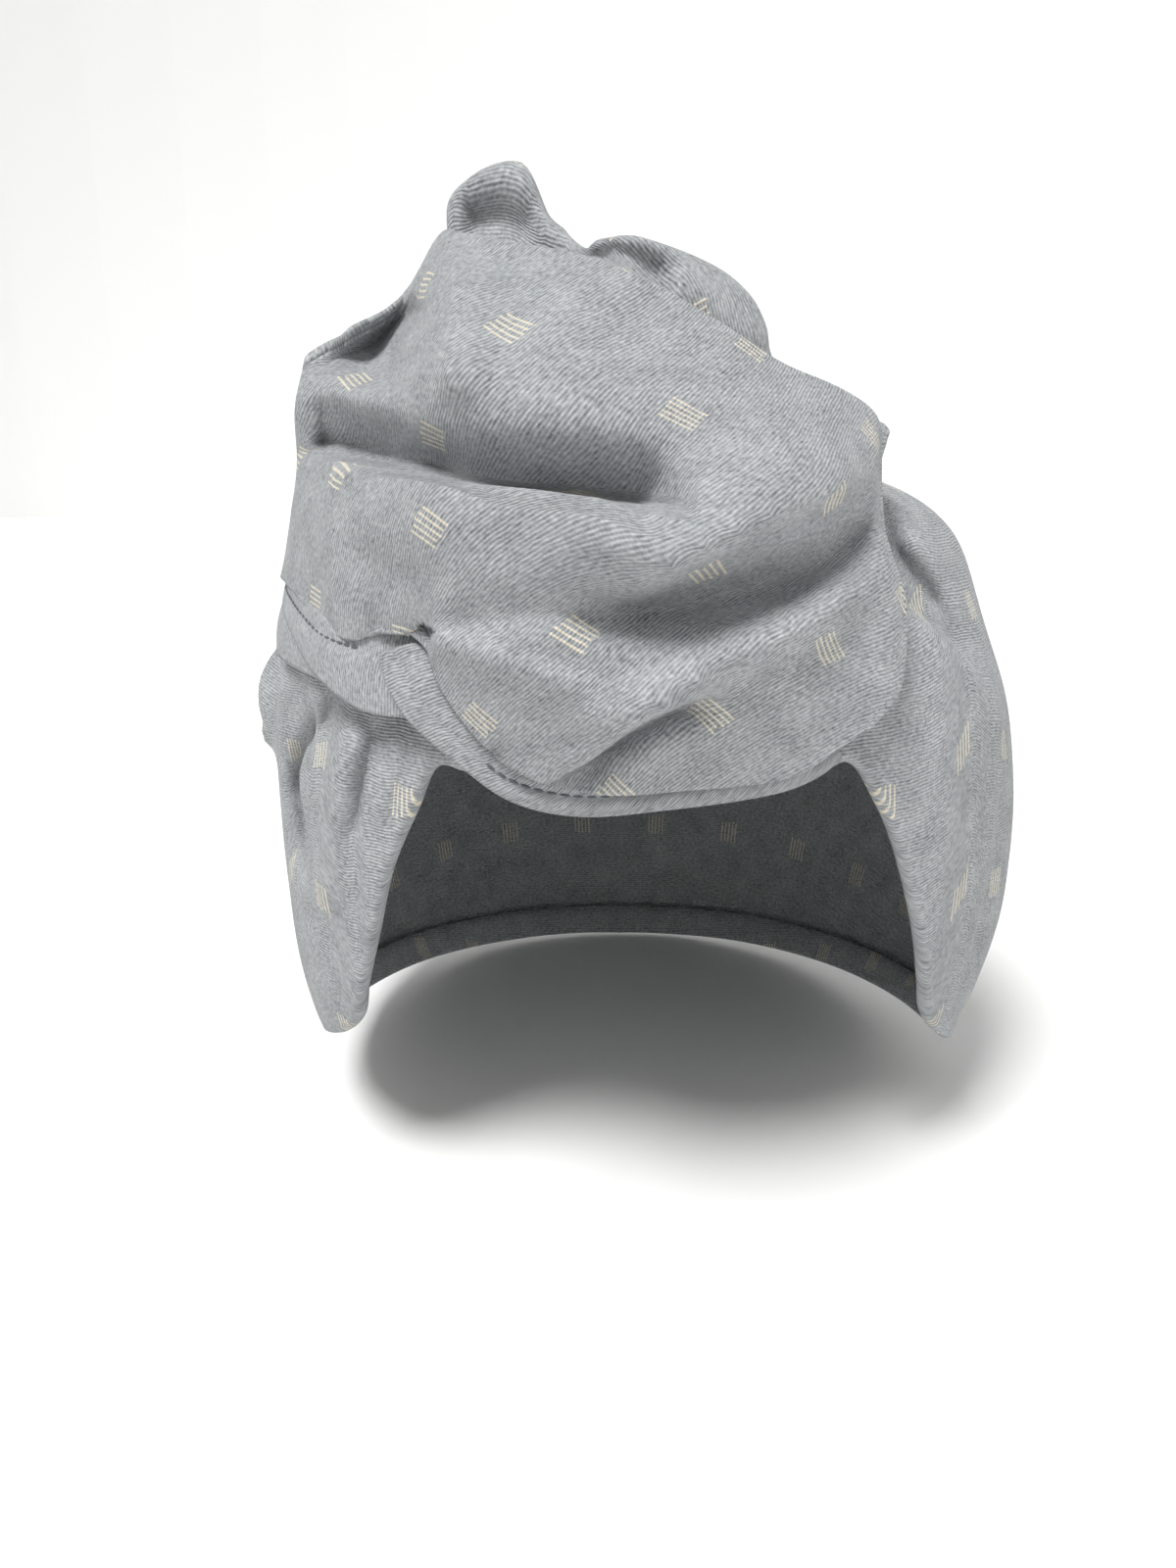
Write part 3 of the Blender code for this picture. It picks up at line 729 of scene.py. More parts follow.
@dataclass(frozen=True)
class RibbedCotton:
    """Woven cotton with fine ribs of light and dark yarn and groups of raised cream dashes.

    Cotton is matt and a little fuzzy, so it shows no highlight, only a faint pale edge. Each rib catches the
    light on its top, and the uneven yarns give the cloth its heathered look. Lengths are in millimetres. The
    real ribs are about 0.45 mm apart and are drawn half as far apart again, so that they show. The tones are
    shares of the way from the shade to the light colour: the middle one, and how far the ribs, the slubs, the
    flecks and the clouds sway from it.
    """

    name: str = "ribbed_cotton"
    light: str = "#C4C6C8"
    shade: str = "#56595D"
    cream: str = "#E6DDC8"
    rib_pitch: float = 0.66
    pick_pitch: float = 0.60
    rib_depth: float = 0.16
    waver: float = 0.9
    slub_length: float = 1.3
    slub_width: float = 0.6
    fleck_size: float = 0.9
    cloud_size: float = 7.0
    drift_scale: float = 0.12
    mid_tone: float = 0.54
    rib_tone: float = 0.15
    slub_tone: float = 1.1
    fleck_tone: float = 0.65
    cloud_tone: float = 0.45
    pick_rise: float = 0.10
    relief: float = 0.8
    group_pitch: tuple[float, float] = (26.5, 31.5)
    dash_length: float = 6.3
    dash_pitch: float = 1.22
    dash_width: float = 0.50
    dashes: int = 5
    dash_rise: float = 1.1
    dash_edge: tuple[float, float] = (0.10, 0.14)
    dash_ragged: float = 2.4
    dash_cover: tuple[float, float] = (1.2, 0.12)
    roughness: float = 0.92
    sheen: float = 0.06
    specular: float = 0.2

    def build(self) -> bpy.types.Material:
        """Return the material."""
        material, tree, shader = new_material(self.name, self.roughness)
        shader.inputs["Sheen Weight"].default_value = self.sheen
        shader.inputs["Specular IOR Level"].default_value = self.specular
        spot = add_node(tree, "ShaderNodeUVMap", {"uv_map": "UVMap"})
        halves = add_node(tree, "ShaderNodeSeparateXYZ", inputs={0: spot})
        along, across = halves.outputs["X"], halves.outputs["Y"]
        tone, height, ragged = self.threads(tree, spot, along, across)
        colour = add_node(tree, "ShaderNodeValToRGB", inputs={0: tone})
        for stop, (place, code) in zip(colour.color_ramp.elements, ((0.0, self.shade), (1.0, self.light))):
            stop.position, stop.color = place, linear(code)
        if self.dashes:
            mask = self.dash_mask(tree, along, across, ragged)
            colour = add_node(tree, "ShaderNodeMixRGB", inputs={0: mask, 1: colour, 2: linear(self.cream)})
            height = add_node(tree, MATH, TIMES_PLUS, {0: mask, 1: self.dash_rise, 2: height})
        tree.links.new(colour.outputs[0], shader.inputs["Base Color"])
        bump = add_node(tree, "ShaderNodeBump", inputs={
            "Strength": self.relief, "Distance": self.rib_depth * MM, "Height": height})
        tree.links.new(bump.outputs["Normal"], shader.inputs["Normal"])
        return material

    def threads(self, tree: bpy.types.NodeTree, spot: bpy.types.Node, along: bpy.types.NodeSocket,
                across: bpy.types.NodeSocket) -> tuple[bpy.types.Node, bpy.types.Node, bpy.types.Node]:
        """Add the nodes of the woven threads.

        Args:
            tree: the material's nodes.
            spot: the place on the flat cloth, in millimetres.
            along: its part along the ribs.
            across: its part across them.

        Returns:
            The tone, the height and the raggedness of the threads.
        """
        drift = add_node(tree, NOISE, inputs={"Vector": spot, "Scale": self.drift_scale, "Detail": 2.0})
        stretch = add_node(tree, "ShaderNodeMapping", inputs={
            "Vector": spot, "Scale": (1 / self.slub_length, 1 / self.slub_width, 1.0)})
        slub = add_node(tree, NOISE, inputs={"Vector": stretch, "Scale": 1.0, "Detail": 2.0, "Roughness": 0.6})
        fleck = add_node(tree, NOISE, inputs={"Vector": spot, "Scale": 1 / self.fleck_size, "Detail": 3.0})
        cloud = add_node(tree, NOISE, inputs={"Vector": spot, "Scale": 1 / self.cloud_size, "Detail": 3.0})
        wander = add_node(tree, MATH, TIMES_PLUS, {0: drift, 1: self.waver, 2: across})
        rib = add_node(tree, MATH, TIMES, {0: wander, 1: 2 * math.pi / self.rib_pitch})
        rib = add_node(tree, MATH, WAVE, {0: rib})
        pick = add_node(tree, MATH, TIMES, {0: along, 1: 2 * math.pi / self.pick_pitch})
        pick = add_node(tree, MATH, WAVE, {0: pick})
        height = add_node(tree, MATH, TIMES_PLUS, {0: rib, 1: 0.5, 2: 0.5})
        height = add_node(tree, MATH, TIMES_PLUS, {0: pick, 1: self.pick_rise, 2: height})
        tone = add_node(tree, MATH, TIMES_PLUS, {0: rib, 1: self.rib_tone, 2: self.mid_tone})
        for source, sway in ((slub, self.slub_tone), (fleck, self.fleck_tone), (cloud, self.cloud_tone)):
            off = add_node(tree, MATH, LESS, {0: source, 1: 0.5})
            tone = add_node(tree, MATH, TIMES_PLUS, {0: off, 1: sway, 2: tone})
        return tone, height, slub

    def dash_mask(self, tree: bpy.types.NodeTree, along: bpy.types.NodeSocket, across: bpy.types.NodeSocket,
                  ragged: bpy.types.Node) -> bpy.types.Node:
        """Add the nodes of the cream dashes, which run across the ribs.

        Args:
            tree: the material's nodes.
            along: the place along the ribs, in millimetres.
            across: the place across them.
            ragged: noise that frays the ends and thins the yarn.

        Returns:
            Where the dashes show, from 0 to 1.
        """
        # The places are shifted by a thousand groups, so that none of them is below nought
        wide, tall = self.group_pitch
        far = 1000
        shifted = add_node(tree, MATH, PLUS, {0: along, 1: far * wide})
        from_group = add_node(tree, MATH, BOUNCE, {0: shifted, 1: wide / 2})
        in_group = add_node(tree, MATH, BELOW, {0: from_group, 1: self.dashes * self.dash_pitch / 2})
        centred = add_node(tree, MATH, PLUS, {0: along, 1: (far + 0.5) * wide})
        centred = add_node(tree, MATH, REST, {0: centred, 1: wide})
        centred = add_node(tree, MATH, PLUS, {0: centred, 1: far * self.dash_pitch - wide / 2})
        from_dash = add_node(tree, MATH, BOUNCE, {0: centred, 1: self.dash_pitch / 2})
        outer, inner = self.dash_edge
        stripe = add_node(tree, "ShaderNodeMapRange", {"interpolation_type": "SMOOTHSTEP"}, {
            0: from_dash, 1: self.dash_width / 2 + outer, 2: self.dash_width / 2 - inner})
        upward = add_node(tree, MATH, PLUS, {0: across, 1: far * tall})
        from_row = add_node(tree, MATH, BOUNCE, {0: upward, 1: tall / 2})
        end = add_node(tree, MATH, TIMES_PLUS, {
            0: ragged, 1: self.dash_ragged, 2: (self.dash_length - self.dash_ragged) / 2})
        in_length = add_node(tree, MATH, BELOW, {0: from_row, 1: end})
        both = add_node(tree, MATH, TIMES, {0: in_length, 1: in_group})
        worn = add_node(tree, MATH, TIMES_PLUS, {0: ragged, 1: self.dash_cover[0], 2: self.dash_cover[1]})
        shown = add_node(tree, MATH, TIMES, {0: stripe, 1: worn})
        return add_node(tree, MATH, {"operation": "MULTIPLY", "use_clamp": True}, {0: both, 1: shown})


@dataclass(frozen=True)
class SewingThread:
    """Spun polyester thread: thin, matt, and darker than the cloth, so that a seam reads as a fine broken line.

    The plies of its twist show as light and dark spots half a millimetre wide.
    """

    name: str = "sewing_thread"
    tone: str = "#62696F"
    shade: str = "#474D52"
    ply: float = 0.5
    roughness: float = 0.7

    def build(self) -> bpy.types.Material:
        """Return the material."""
        material, tree, shader = new_material(self.name, self.roughness)
        spot = add_node(tree, "ShaderNodeTexCoord")
        twist = add_node(tree, NOISE, inputs={
            "Vector": spot.outputs["Object"], "Scale": 1 / (self.ply * MM), "Detail": 1.0})
        colour = add_node(tree, "ShaderNodeValToRGB", inputs={0: twist})
        for stop, code in zip(colour.color_ramp.elements, (self.shade, self.tone)):
            stop.color = linear(code)
        tree.links.new(colour.outputs[0], shader.inputs["Base Color"])
        return material


@dataclass(frozen=True)
class StitchRow:
    """A row of short straight stitches, each a small rounded thread sunk half into the cloth. Metres."""

    name: str
    pitch: float = 0.0024
    length: float = 0.0019
    thickness: float = 0.0006
    thread: SewingThread = SewingThread()

    def build(self, line: np.ndarray) -> bpy.types.Object:
        """Make the row.

        Args:
            line: the points that the seam passes.

        Returns:
            The stitches, joined into one object.
        """
        walked = np.concatenate(((0.0,), np.cumsum(np.linalg.norm(np.diff(line, axis=0), axis=1))))
        starts = np.arange(self.pitch, walked[-1] - self.pitch, self.pitch)
        ends = [np.stack([np.interp(starts + off, walked, line[:, part]) for part in range(3)], axis=1)
                for off in (0.0, self.length)]
        bpy.ops.object.select_all(action="DESELECT")
        bpy.ops.mesh.primitive_uv_sphere_add(segments=8, ring_count=5, radius=self.thickness / 2)
        stitch = bpy.context.active_object
        edit_all(bpy.ops.transform.resize, value=(1.0, 1.0, self.length / self.thickness))
        bpy.ops.object.shade_smooth()
        for start, end in zip(*ends):
            copy = stitch.copy()
            copy.data = stitch.data.copy()
            copy.location = (start + end) / 2
            copy.rotation_euler = Vector(end - start).to_track_quat("Z", "Y").to_euler()
            bpy.context.scene.collection.objects.link(copy)
            copy.select_set(True)
        stitch.select_set(False)
        bpy.context.view_layer.objects.active = copy
        bpy.data.objects.remove(stitch)
        bpy.ops.object.join()
        bpy.ops.object.transform_apply(location=True, rotation=True, scale=True)
        row = bpy.context.active_object
        row.name = row.data.name = self.name
        row.data.materials.append(bpy.data.materials.get(self.thread.name) or self.thread.build())
        LOG.info("%s: %d stitches", row.name, len(starts))
        return row


@dataclass
class ClothPiece:
    """A piece of cloth, made of a net of points and dressed in its weave.

    Its flat size is its greatest length each way along the cloth, and its flat area that of the shape between.
    """

    name: str
    node: str
    slot: str
    wall: float
    flat: tuple[float, float]
    flat_area: float
    held: Held
    finish: RibbedCotton
    rests_on: tuple[str, ...] = ()
    net: np.ndarray = field(default=None, repr=False)
    weave: np.ndarray = field(default=None, repr=False)
    seam_line: np.ndarray = field(default=None, repr=False)

    def build(self, closed: bool = False) -> bpy.types.Object:
        """Make the piece from its net: a grid is added, shaped, given its wall and dressed.

        Args:
            closed: whether the net's first and last rows meet and its first column is one point.

        Returns:
            The finished object.
        """
        rows, columns = self.net.shape[:2]
        bpy.ops.object.select_all(action="DESELECT")
        bpy.ops.mesh.primitive_grid_add(x_subdivisions=rows - 1, y_subdivisions=columns - 1, size=2)
        piece = bpy.context.active_object
        piece.name = self.name
        mesh = piece.data
        mesh.name = self.name
        flat = np.zeros(len(mesh.vertices) * 3)
        mesh.vertices.foreach_get("co", flat)
        flat = flat.reshape(-1, 3)
        row = np.rint((flat[:, 0] + 1) / 2 * (rows - 1)).astype(int)
        column = np.rint((flat[:, 1] + 1) / 2 * (columns - 1)).astype(int)
        mesh.vertices.foreach_set("co", self.net[row, column].ravel())
        corners = np.zeros(len(mesh.loops), int)
        mesh.loops.foreach_get("vertex_index", corners)
        layer = mesh.uv_layers[0]
        layer.name = "UVMap"
        layer.data.foreach_set("uv", self.weave[row[corners], column[corners]].ravel())
        mesh.update()
        self.face_out(piece, closed)
        self.thicken(piece)
        piece.data.materials.clear()
        piece.data.materials.append(bpy.data.materials.get(self.finish.name) or self.finish.build())
        bpy.ops.object.shade_smooth()
        self.declare(piece)
        return piece

    def sewn(self) -> list[bpy.types.Object]:
        """Make the stitches that go with the piece and return them."""
        return []

    def face_out(self, piece: bpy.types.Object, closed: bool) -> None:
        """Close the seam and the pole of a closed net, and turn the faces outwards.

        Args:
            piece: the sheet, before it has its wall.
            closed: whether its net is closed.
        """
        if closed:
            edit_all(bpy.ops.mesh.remove_doubles, threshold=WELD)
        mesh = piece.data
        faces = len(mesh.polygons)
        normals, centres = np.zeros(faces * 3), np.zeros(faces * 3)
        mesh.polygons.foreach_get("normal", normals)
        mesh.polygons.foreach_get("center", centres)
        outward = np.sum(normals.reshape(-1, 3) * (centres.reshape(-1, 3) - FORM.middle), axis=1)
        if np.median(outward) < 0:
            edit_all(bpy.ops.mesh.flip_normals)

    def thicken(self, piece: bpy.types.Object) -> None:
        """Give the sheet its wall, half to each side."""
        wall = piece.modifiers.new("wall", "SOLIDIFY")
        wall.thickness = self.wall
        wall.offset = 0.0
        wall.use_even_offset = False
        wall.use_quality_normals = True
        bpy.ops.object.modifier_apply(modifier=wall.name)

    def declare(self, piece: bpy.types.Object) -> None:
        """Attach the piece and its stitches to the root, hide the model part that it stands for, and log its
        faces and size.
        """
        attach(piece, "root")
        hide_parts(self.node)
        rows = self.sewn()
        for row in rows:
            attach(row, "root")
        along, across = net_lengths(self.net)
        LOG.info("%s: %d faces, %.0f by %.0f mm along the cloth", piece.name, len(piece.data.polygons),
                 along.max() / MM, across.max() / MM)


def net_lengths(net: np.ndarray) -> tuple[np.ndarray, np.ndarray]:
    """Return how far each point of a net is along the cloth from its edges.

    Args:
        net: rows by columns by three.

    Returns:
        The lengths from the first row and from the first column, in metres.
    """
    along = np.linalg.norm(np.diff(net, axis=0), axis=-1)
    across = np.linalg.norm(np.diff(net, axis=1), axis=-1)
    along = np.concatenate((np.zeros((1, net.shape[1])), np.cumsum(along, axis=0)))
    across = np.concatenate((np.zeros((net.shape[0], 1)), np.cumsum(across, axis=1)), axis=1)
    return along, across


def laid_flat(net: np.ndarray, stride: int = 5, rounds: int = 60) -> np.ndarray:
    """Return the net laid out flat with little stretch, in millimetres.

    Args:
        net: rows by columns by three.
        stride: a coarser net of every so many rows and columns is unwrapped, and the rest worked in between.
        rounds: how often the unwrapping is bettered.

    Returns:
        Rows by columns by two.
    """
    rows, columns = net.shape[:2]
    pick_rows = np.unique(np.append(np.arange(0, rows, stride), rows - 1))
    pick_columns = np.unique(np.append(np.arange(0, columns, stride), columns - 1))
    coarse = net[np.ix_(pick_rows, pick_columns)]
    high, wide = coarse.shape[:2]
    index = np.arange(high * wide).reshape(high, wide)
    faces = np.stack((index[:-1, :-1], index[1:, :-1], index[1:, 1:], index[:-1, 1:]), axis=-1).reshape(-1, 4)
    mesh = bpy.data.meshes.new("flat_pattern")
    mesh.from_pydata([tuple(point) for point in coarse.reshape(-1, 3)], [], faces.tolist())
    mesh.uv_layers.new(name="UVMap")
    pattern = placed("flat_pattern", mesh)
    bpy.ops.object.select_all(action="DESELECT")
    pattern.select_set(True)
    bpy.context.view_layer.objects.active = pattern
    edit_all(bpy.ops.uv.unwrap, method="MINIMUM_STRETCH", margin=0.0, iterations=rounds)
    corners = np.zeros(len(mesh.loops), int)
    mesh.loops.foreach_get("vertex_index", corners)
    places = np.zeros(len(mesh.loops) * 2)
    mesh.uv_layers[0].data.foreach_get("uv", places)
    flat = np.zeros((high * wide, 2))
    flat[corners] = places.reshape(-1, 2)
    flat = flat.reshape(high, wide, 2)
    bpy.data.objects.remove(pattern)
    real = np.linalg.norm(np.diff(coarse, axis=0), axis=-1)
    drawn = np.linalg.norm(np.diff(flat, axis=0), axis=-1)
    flat = flat * (np.median(real / np.maximum(drawn, TINY)) / MM)
    out = np.stack([np.stack([np.interp(np.arange(rows), pick_rows, flat[:, column, part])
                              for column in range(wide)], axis=1) for part in range(2)], axis=-1)
    return np.stack([np.stack([np.interp(np.arange(columns), pick_columns, out[row, :, part])
                               for row in range(rows)]) for part in range(2)], axis=-1)


def laid_along(flat: np.ndarray, net: np.ndarray, lay: Lay) -> np.ndarray:
    """Return the flat pattern turned so that the ribs run as they show in the picture.

    Args:
        flat: the net laid flat, in millimetres.
        net: the net in its place.
        lay: the two picture places that a rib joins.

    Returns:
        The pattern with its start at the first place and its first axis towards the second.
    """
    shown = CAMERA.picture_places(net)
    spots = []
    for place in (lay.start, lay.end):
        distance = np.linalg.norm(shown - np.array(place), axis=-1)
        distance = np.where(net[..., 1] > 0, np.inf, distance)
        spots.append(flat[np.unravel_index(np.argmin(distance), distance.shape)])
    start, end = spots
    run = unit(end - start)
    side = np.array((-run[1], run[0]))
    along, across = (flat - start) @ run, (flat - start) @ side
    return np.stack((along + lay.shear * across, across), axis=-1)


@dataclass
class Cap(ClothPiece):
    """The fitted cap, from the crown down to a hem turned inside the rim.

    The weave is laid at one radius in millimetres, which holds 23 half groups of dashes from the front to the
    seam at the back, so that the seam cuts through none.
    """

    weave_radius: float = 97.0
    hem_radius: float = 0.0011
    hem_turn: float = 0.97
    hem_length: float = 0.007
    wrinkles: Wrinkles = Wrinkles(0.022, 0.0006, 3.0)

    def shape(self, step: float = 0.0022) -> "Cap":
        """Work out the net and its weave, and return the piece."""
        rim = np.array(CAP_RIM, float)
        places = steps_along(on_cap(rim[:, 0], rim[:, 1], 0 * rim[:, 0])[:, None], step)
        line = spline(rim, places)
        rings = round(math.radians(90 - rim[0, 1]) * FORM.crown_rise / step)
        share = np.linspace(0.0, 1.0, rings + 1)
        turn = np.broadcast_to(line[:, :1], (len(line), rings + 1))
        rise = 90 + (line[:, 1:2] - 90) * share[None, :]
        net = on_cap(turn, rise, np.full(turn.shape, -self.wall / 2))
        net[:, 0] = net[0, 0]
        body = self.wrinkles.on(net + sum(CAMERA.creased(net, CAP_CREASES)))
        body[:, 0], body[-1] = body[0, 0], body[0]
        hem = turned_edge(body, self.hem_radius, np.full(len(body), self.hem_turn), self.hem_length)
        hem[-1] = hem[0]
        self.net = np.concatenate((body, hem), axis=1)
        _, across = net_lengths(self.net)
        level = np.radians(np.concatenate((turn, np.repeat(turn[:, -1:], hem.shape[1], axis=1)), axis=1))
        self.weave = np.stack((level * self.weave_radius, -across / MM), axis=-1)
        return self


@dataclass
class FrontWrap(ClothPiece):
    """The draped front: tucked tail, knot gathers, puffed front with its tuck and valleys, round edge.

    Its top edge makes a small turn, in half turns, and ends in a short length of cloth. Creases stop below that
    edge, and what lies under the wrap lifts only its lowest part, both counted in points of a section.
    """

    lip_turn: float = 0.62
    lip_length: float = 0.003
    crease_stop: float = 0.35
    lifted_to: float = 1.6
    wrinkles: Wrinkles = Wrinkles(0.016, 0.0007, 11.0)

    def shape(self, step: float = 0.0012, fold_step: float = 0.0008) -> "FrontWrap":
        """Work out the net and its weave, and return the piece."""
        sections = list(WRAP_SECTIONS.values())
        rows = at([[(turn, rise, share * PUFF) for turn, rise, share in section.points]
                   for section in sections])
        rows = np.concatenate((rows[:-1], self.turned_under(rows[-3], rows[-2]), rows[-1:]))
        fine, along, across = woven(rows, step, fold_step)
        body = self.folded(fine, along[:, None], across[None, :], [section.layers for section in sections])
        body = self.wrinkles.on(body)
        turned = np.interp(along, np.arange(len(sections) - 1), [section.turned for section in sections[:-1]])
        lip = turned_edge(body, FOLD_RADIUS, turned * self.lip_turn, self.lip_length)
        self.net = np.concatenate((body, lip), axis=1)
        self.weave = laid_along(laid_flat(self.net), self.net, WRAP_LAY)
        return self

    @staticmethod
    def turned_under(before: np.ndarray, edge: np.ndarray) -> np.ndarray:
        """Return the rows of the round fold at the wrap's right edge.

        Args:
            before: the row before the edge.
            edge: the row at the edge, where the fold starts.

        Returns:
            The rows of the half turn, the last of them right below the edge.
        """
        up = unit(edge - FORM.middle)
        along = edge - before
        along = unit(along - up * np.sum(along * up, axis=-1, keepdims=True))
        angles = np.radians((60, 120, 180))
        return np.stack([edge + (along * math.sin(angle) - up * (1 - math.cos(angle))) * FOLD_RADIUS
                         for angle in angles])

    def folded(self, net: np.ndarray, along: np.ndarray, across: np.ndarray, layers: list[float]) -> np.ndarray:
        """Return the net with its creases, held clear of the cloth under it.

        Args:
            net: the fine net.
            along: the places of its rows, counted in sections.
            across: the places of its columns, counted from the hem.
            layers: each section's layers of cloth under it.

        Returns:
            The net, moved.
        """
        edge = len(layers) - 2
        ease = np.minimum(1.0, np.minimum(along, np.maximum(0.0, edge - along)))[..., None]
        height, slide = CAMERA.creased(net, WRAP_CREASES)
        at_top = np.clip((across[0, -1] - across) / self.crease_stop, 0.0, 1.0)[..., None]
        creased = net + (height * at_top + slide) * ease
        turn, rise, reach = FORM.bearing(creased)
        face = cap_face(turn, rise)
        layer = np.interp(along, np.arange(edge + 1), layers[:edge + 1])
        cloth_below = layer * LAYER * np.clip(self.lifted_to - across, 0.0, 1.0)
        # The fold under the right edge lifts the wrap from 1.2 sections before that edge, and fully from 0.7
        turned_below = 2 * FOLD_RADIUS * np.clip(2.0 * (along - edge) + 2.4, 0.0, 1.0)
        lowest = SEAT + np.where(along > edge, 0.0, np.maximum(cloth_below, turned_below))
        return FORM.middle + FORM.direction(turn, rise) * np.maximum(reach, face + lowest)[..., None]


@dataclass
class BackLeaf(ClothPiece):
    """The end of the cloth that stands up behind the front's top edge and falls over the crown."""

    wrinkles: Wrinkles = Wrinkles(0.018, 0.0007, 23.0)

    def shape(self, step: float = 0.0016) -> "BackLeaf":
        """Work out the net and its weave, and return the piece."""
        tops = at([(turn, rise, share * PUFF) for turn, rise, share in
                   (section.points[-1] for section in WRAP_SECTIONS.values())])
        feet = spline(tops, np.array([leaf.place for leaf in LEAF_SECTIONS])) + LEAF_FOOT
        rest = at([[(turn, rise, share * PUFF) for turn, rise, share in leaf.points] for leaf in LEAF_SECTIONS])
        net, _, _ = woven(np.concatenate((feet[:, None], rest), axis=1), step, step)
        turn, rise, reach = FORM.bearing(net)
        lift = reach - cap_face(turn, rise) + fold_height(LEAF_FOLDS, turn, rise)
        net = on_cap(turn, rise, np.maximum(lift, SEAT))
        net = net + sum(CAMERA.creased(net, LEAF_CREASES))
        self.net = self.wrinkles.on(net)
        self.weave = laid_along(laid_flat(self.net), self.net, LEAF_LAY)
        return self


@dataclass
class Band(ClothPiece):
    """A flat band that lies round the cap, rounded across.

    It has a row of stitches where it is sewn. They are sunk in a groove, whose width is a share of the band's.
    """

    groove_width: float = 0.10
    wrinkles: Wrinkles = Wrinkles(0.010, 0.0004, 37.0)

    def shape(self, table: tuple[tuple[float, ...], ...], bulge: float = 0.0012, step: float = 0.0008,
              seam: tuple[float, float] = (0.4, 0.4), groove: float = 0.0006,
              sewn: tuple[float, float] | None = None) -> "Band":
        """Work out the net and its weave from a table of rows, and return the piece.

        Args:
            table: the rows of the band.
            bulge: how far its middle stands up, in metres.
            step: the distance between points of the net, in metres.
            seam: the shares of the way up at which the stitches start and end.
            groove: how far the seam pulls the cloth in, in metres.
            sewn: the shares of the band's length between which it is stitched, or None.

        Returns:
            The piece.
        """
        rows = np.array(table)
        shares = np.linspace(0.0, 1.0, 5)
        turn = rows[:, 0:1] + (rows[:, 2:3] - rows[:, 0:1]) * shares
        rise = rows[:, 1:2] + (rows[:, 3:4] - rows[:, 1:2]) * shares
        lift = GAP + self.wall / 2 + rows[:, 4:5] * LAYER + bulge * np.sin(math.pi * shares)
        net, along, across = woven(on_cap(turn, rise, lift), step, step)
        out = unit(net - FORM.middle)
        if sewn:
            run = along / along[-1]
            sewn_at = np.interp(run, sewn, seam)[:, None]
            pulled = np.exp(-((across[None] / across[-1] - sewn_at) / self.groove_width) ** 2) * groove
            net = net - out * pulled[..., None]
            stitched = np.flatnonzero((run >= sewn[0]) & (run <= sewn[1]))
            column = np.interp(sewn_at[stitched, 0], across / across[-1], np.arange(len(across)))
            low = np.minimum(column.astype(int), len(across) - 2)
            share = (column - low)[:, None]
            surface = net + out * self.wall / 2
            self.seam_line = surface[stitched, low] * (1 - share) + surface[stitched, low + 1] * share
        self.net = self.wrinkles.on(net)
        length, width = net_lengths(self.net)
        self.weave = np.stack((width, length), axis=-1) / MM
        return self

    def sewn(self) -> list[bpy.types.Object]:
        """Make the row of stitches along the seam and return it."""
        return [] if self.seam_line is None else [StitchRow(self.name + "_stitches").build(self.seam_line)]


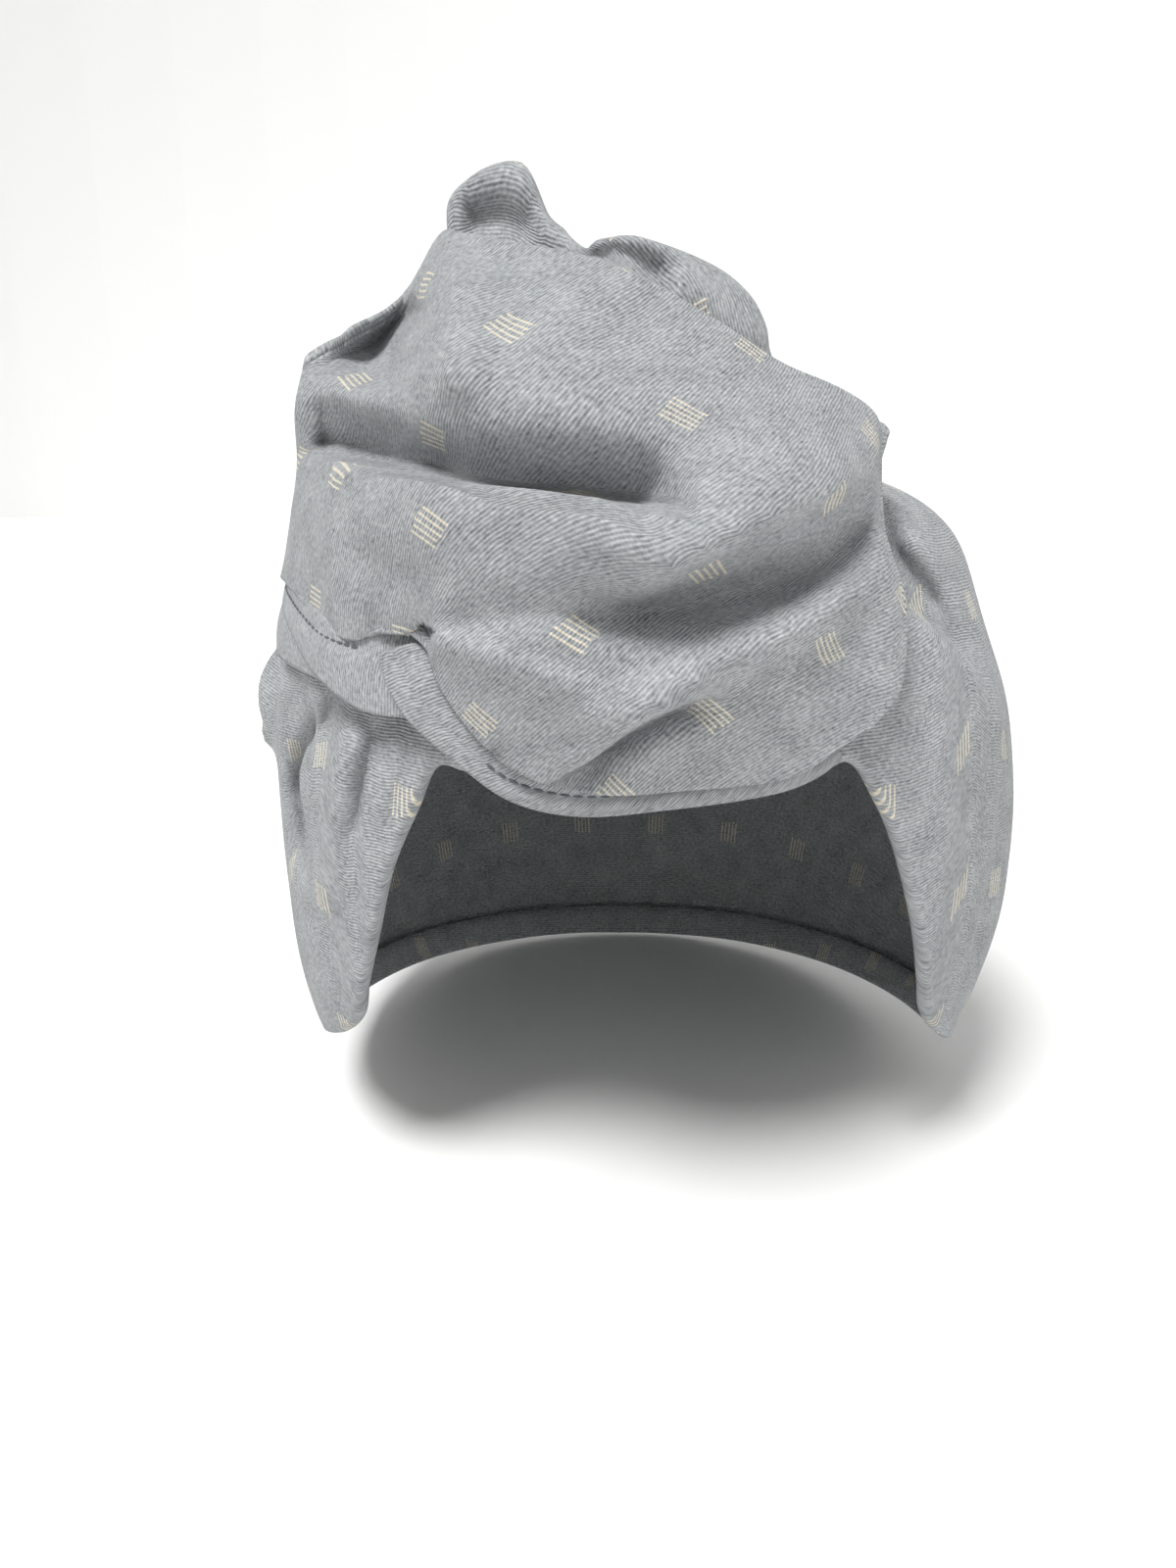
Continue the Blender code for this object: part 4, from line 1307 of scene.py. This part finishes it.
@dataclass(frozen=True)
class Studio:
    """A pale floor and soft light: a wide lamp high at the left, a small one at the right, and the pale sky."""

    floor_drop: float = 0.0015
    floor_size: float = 8.0
    floor_tone: str = "#F4F4F3"
    floor_roughness: float = 0.9
    key_from: tuple[float, float, float] = (-0.30, -0.42, 1.0)
    key_power: float = 3.25
    key_spread: float = 22.0
    fill_from: tuple[float, float, float] = (0.9, -0.9, 0.25)
    fill_size: float = 0.8
    fill_power: float = 1.5
    aim: tuple[float, float, float] = (0.0, 0.0, -0.06)
    sky: float = 0.28
    sky_colour: tuple[float, float, float, float] = (0.95, 0.96, 0.97, 1.0)

    def build(self, lowest: float) -> None:
        """Make the floor, the lamps and the pale surroundings.

        Args:
            lowest: the height of the headwrap's lowest point, in metres.
        """
        bpy.ops.object.select_all(action="DESELECT")
        bpy.ops.mesh.primitive_plane_add(size=self.floor_size, location=(0, 0, lowest - self.floor_drop))
        floor = bpy.context.active_object
        floor.name = "floor"
        material, _, shader = new_material("matt_paper", self.floor_roughness)
        shader.inputs["Base Color"].default_value = linear(self.floor_tone)
        floor.data.materials.append(material)
        floor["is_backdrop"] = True
        self.wall()
        sun = bpy.data.lights.new("key", "SUN")
        sun.energy = self.key_power
        sun.angle = math.radians(self.key_spread)
        key = placed("key", sun)
        key.rotation_euler = (-Vector(self.key_from)).to_track_quat("-Z", "Y").to_euler()
        self.fill()
        bpy.context.scene.view_settings.view_transform = "Standard"
        world = bpy.context.scene.world or bpy.data.worlds.new("studio")
        bpy.context.scene.world = world
        world.use_nodes = True
        background = world.node_tree.nodes["Background"]
        background.inputs["Color"].default_value = self.sky_colour
        background.inputs["Strength"].default_value = self.sky

    def wall(self) -> None:
        """Make the pale round wall far from the headwrap."""
        bpy.ops.object.select_all(action="DESELECT")
        bpy.ops.mesh.primitive_cylinder_add(vertices=96, radius=self.floor_size / 2, depth=self.floor_size,
                                            end_fill_type="NOTHING", location=(0, 0, 0))
        wall = bpy.context.active_object
        wall.name = "wall"
        wall.data.materials.append(bpy.data.materials["matt_paper"])
        wall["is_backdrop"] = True

    def fill(self) -> None:
        """Add the soft square lamp that faces the headwrap from the right."""
        data = bpy.data.lights.new("fill", "AREA")
        data.size = self.fill_size
        data.energy = self.fill_power
        lamp = placed("fill", data)
        lamp.location = self.fill_from
        way = Vector(self.aim) - Vector(self.fill_from)
        lamp.rotation_euler = way.to_track_quat("-Z", "Y").to_euler()


def main() -> None:
    """Make every piece of the headwrap, the studio and the camera."""
    logging.basicConfig(level=logging.INFO, format="%(message)s")
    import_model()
    cad_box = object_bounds()
    cotton = RibbedCotton()
    plain = RibbedCotton(name="plain_ribbed_cotton", dashes=0)
    Cap("cap_cloth", "cap", "cloth", wall=0.0013, flat=(0.63, 0.235), flat_area=0.086, held=Held.STRETCHED,
        finish=cotton).shape().build(closed=True)
    FrontWrap("front_drape", "front_wrap", "cloth", wall=0.0011, flat=(0.325, 0.15), flat_area=0.0226,
              held=Held.FOLDED, finish=cotton, rests_on=("cap",)).shape().build()
    BackLeaf("standing_leaf", "back_leaf", "cloth", wall=0.0011, flat=(0.165, 0.16), flat_area=0.0175,
             held=Held.FOLDED, finish=cotton, rests_on=("cap",)).shape().build()
    hem = Band("hem_strip", "hem_band", "hem_cloth", wall=0.0019, flat=(0.10, 0.011), flat_area=0.00101,
               held=Held.FOLDED, finish=plain, rests_on=("cap",))
    hem.shape(HEM_BAND, sewn=(0.42, 0.99)).build()
    knot = Band("knot_strip", "knot_band", "cloth", wall=0.0013, flat=(0.085, 0.021), flat_area=0.00125,
                held=Held.FOLDED, finish=plain, rests_on=("cap",))
    knot.shape(KNOT_BAND, seam=(0.54, 0.30), sewn=(0.22, 0.86)).build()
    tuck = Band("tuck_strip", "side_tuck", "cloth", wall=0.0013, flat=(0.091, 0.016), flat_area=0.00125,
                held=Held.FOLDED, finish=plain, rests_on=("cap",))
    tuck.shape(SIDE_TUCK).build()
    Studio().build(cad_box[0][2])
    CAMERA.build()


if __name__ == "__main__":
    main()
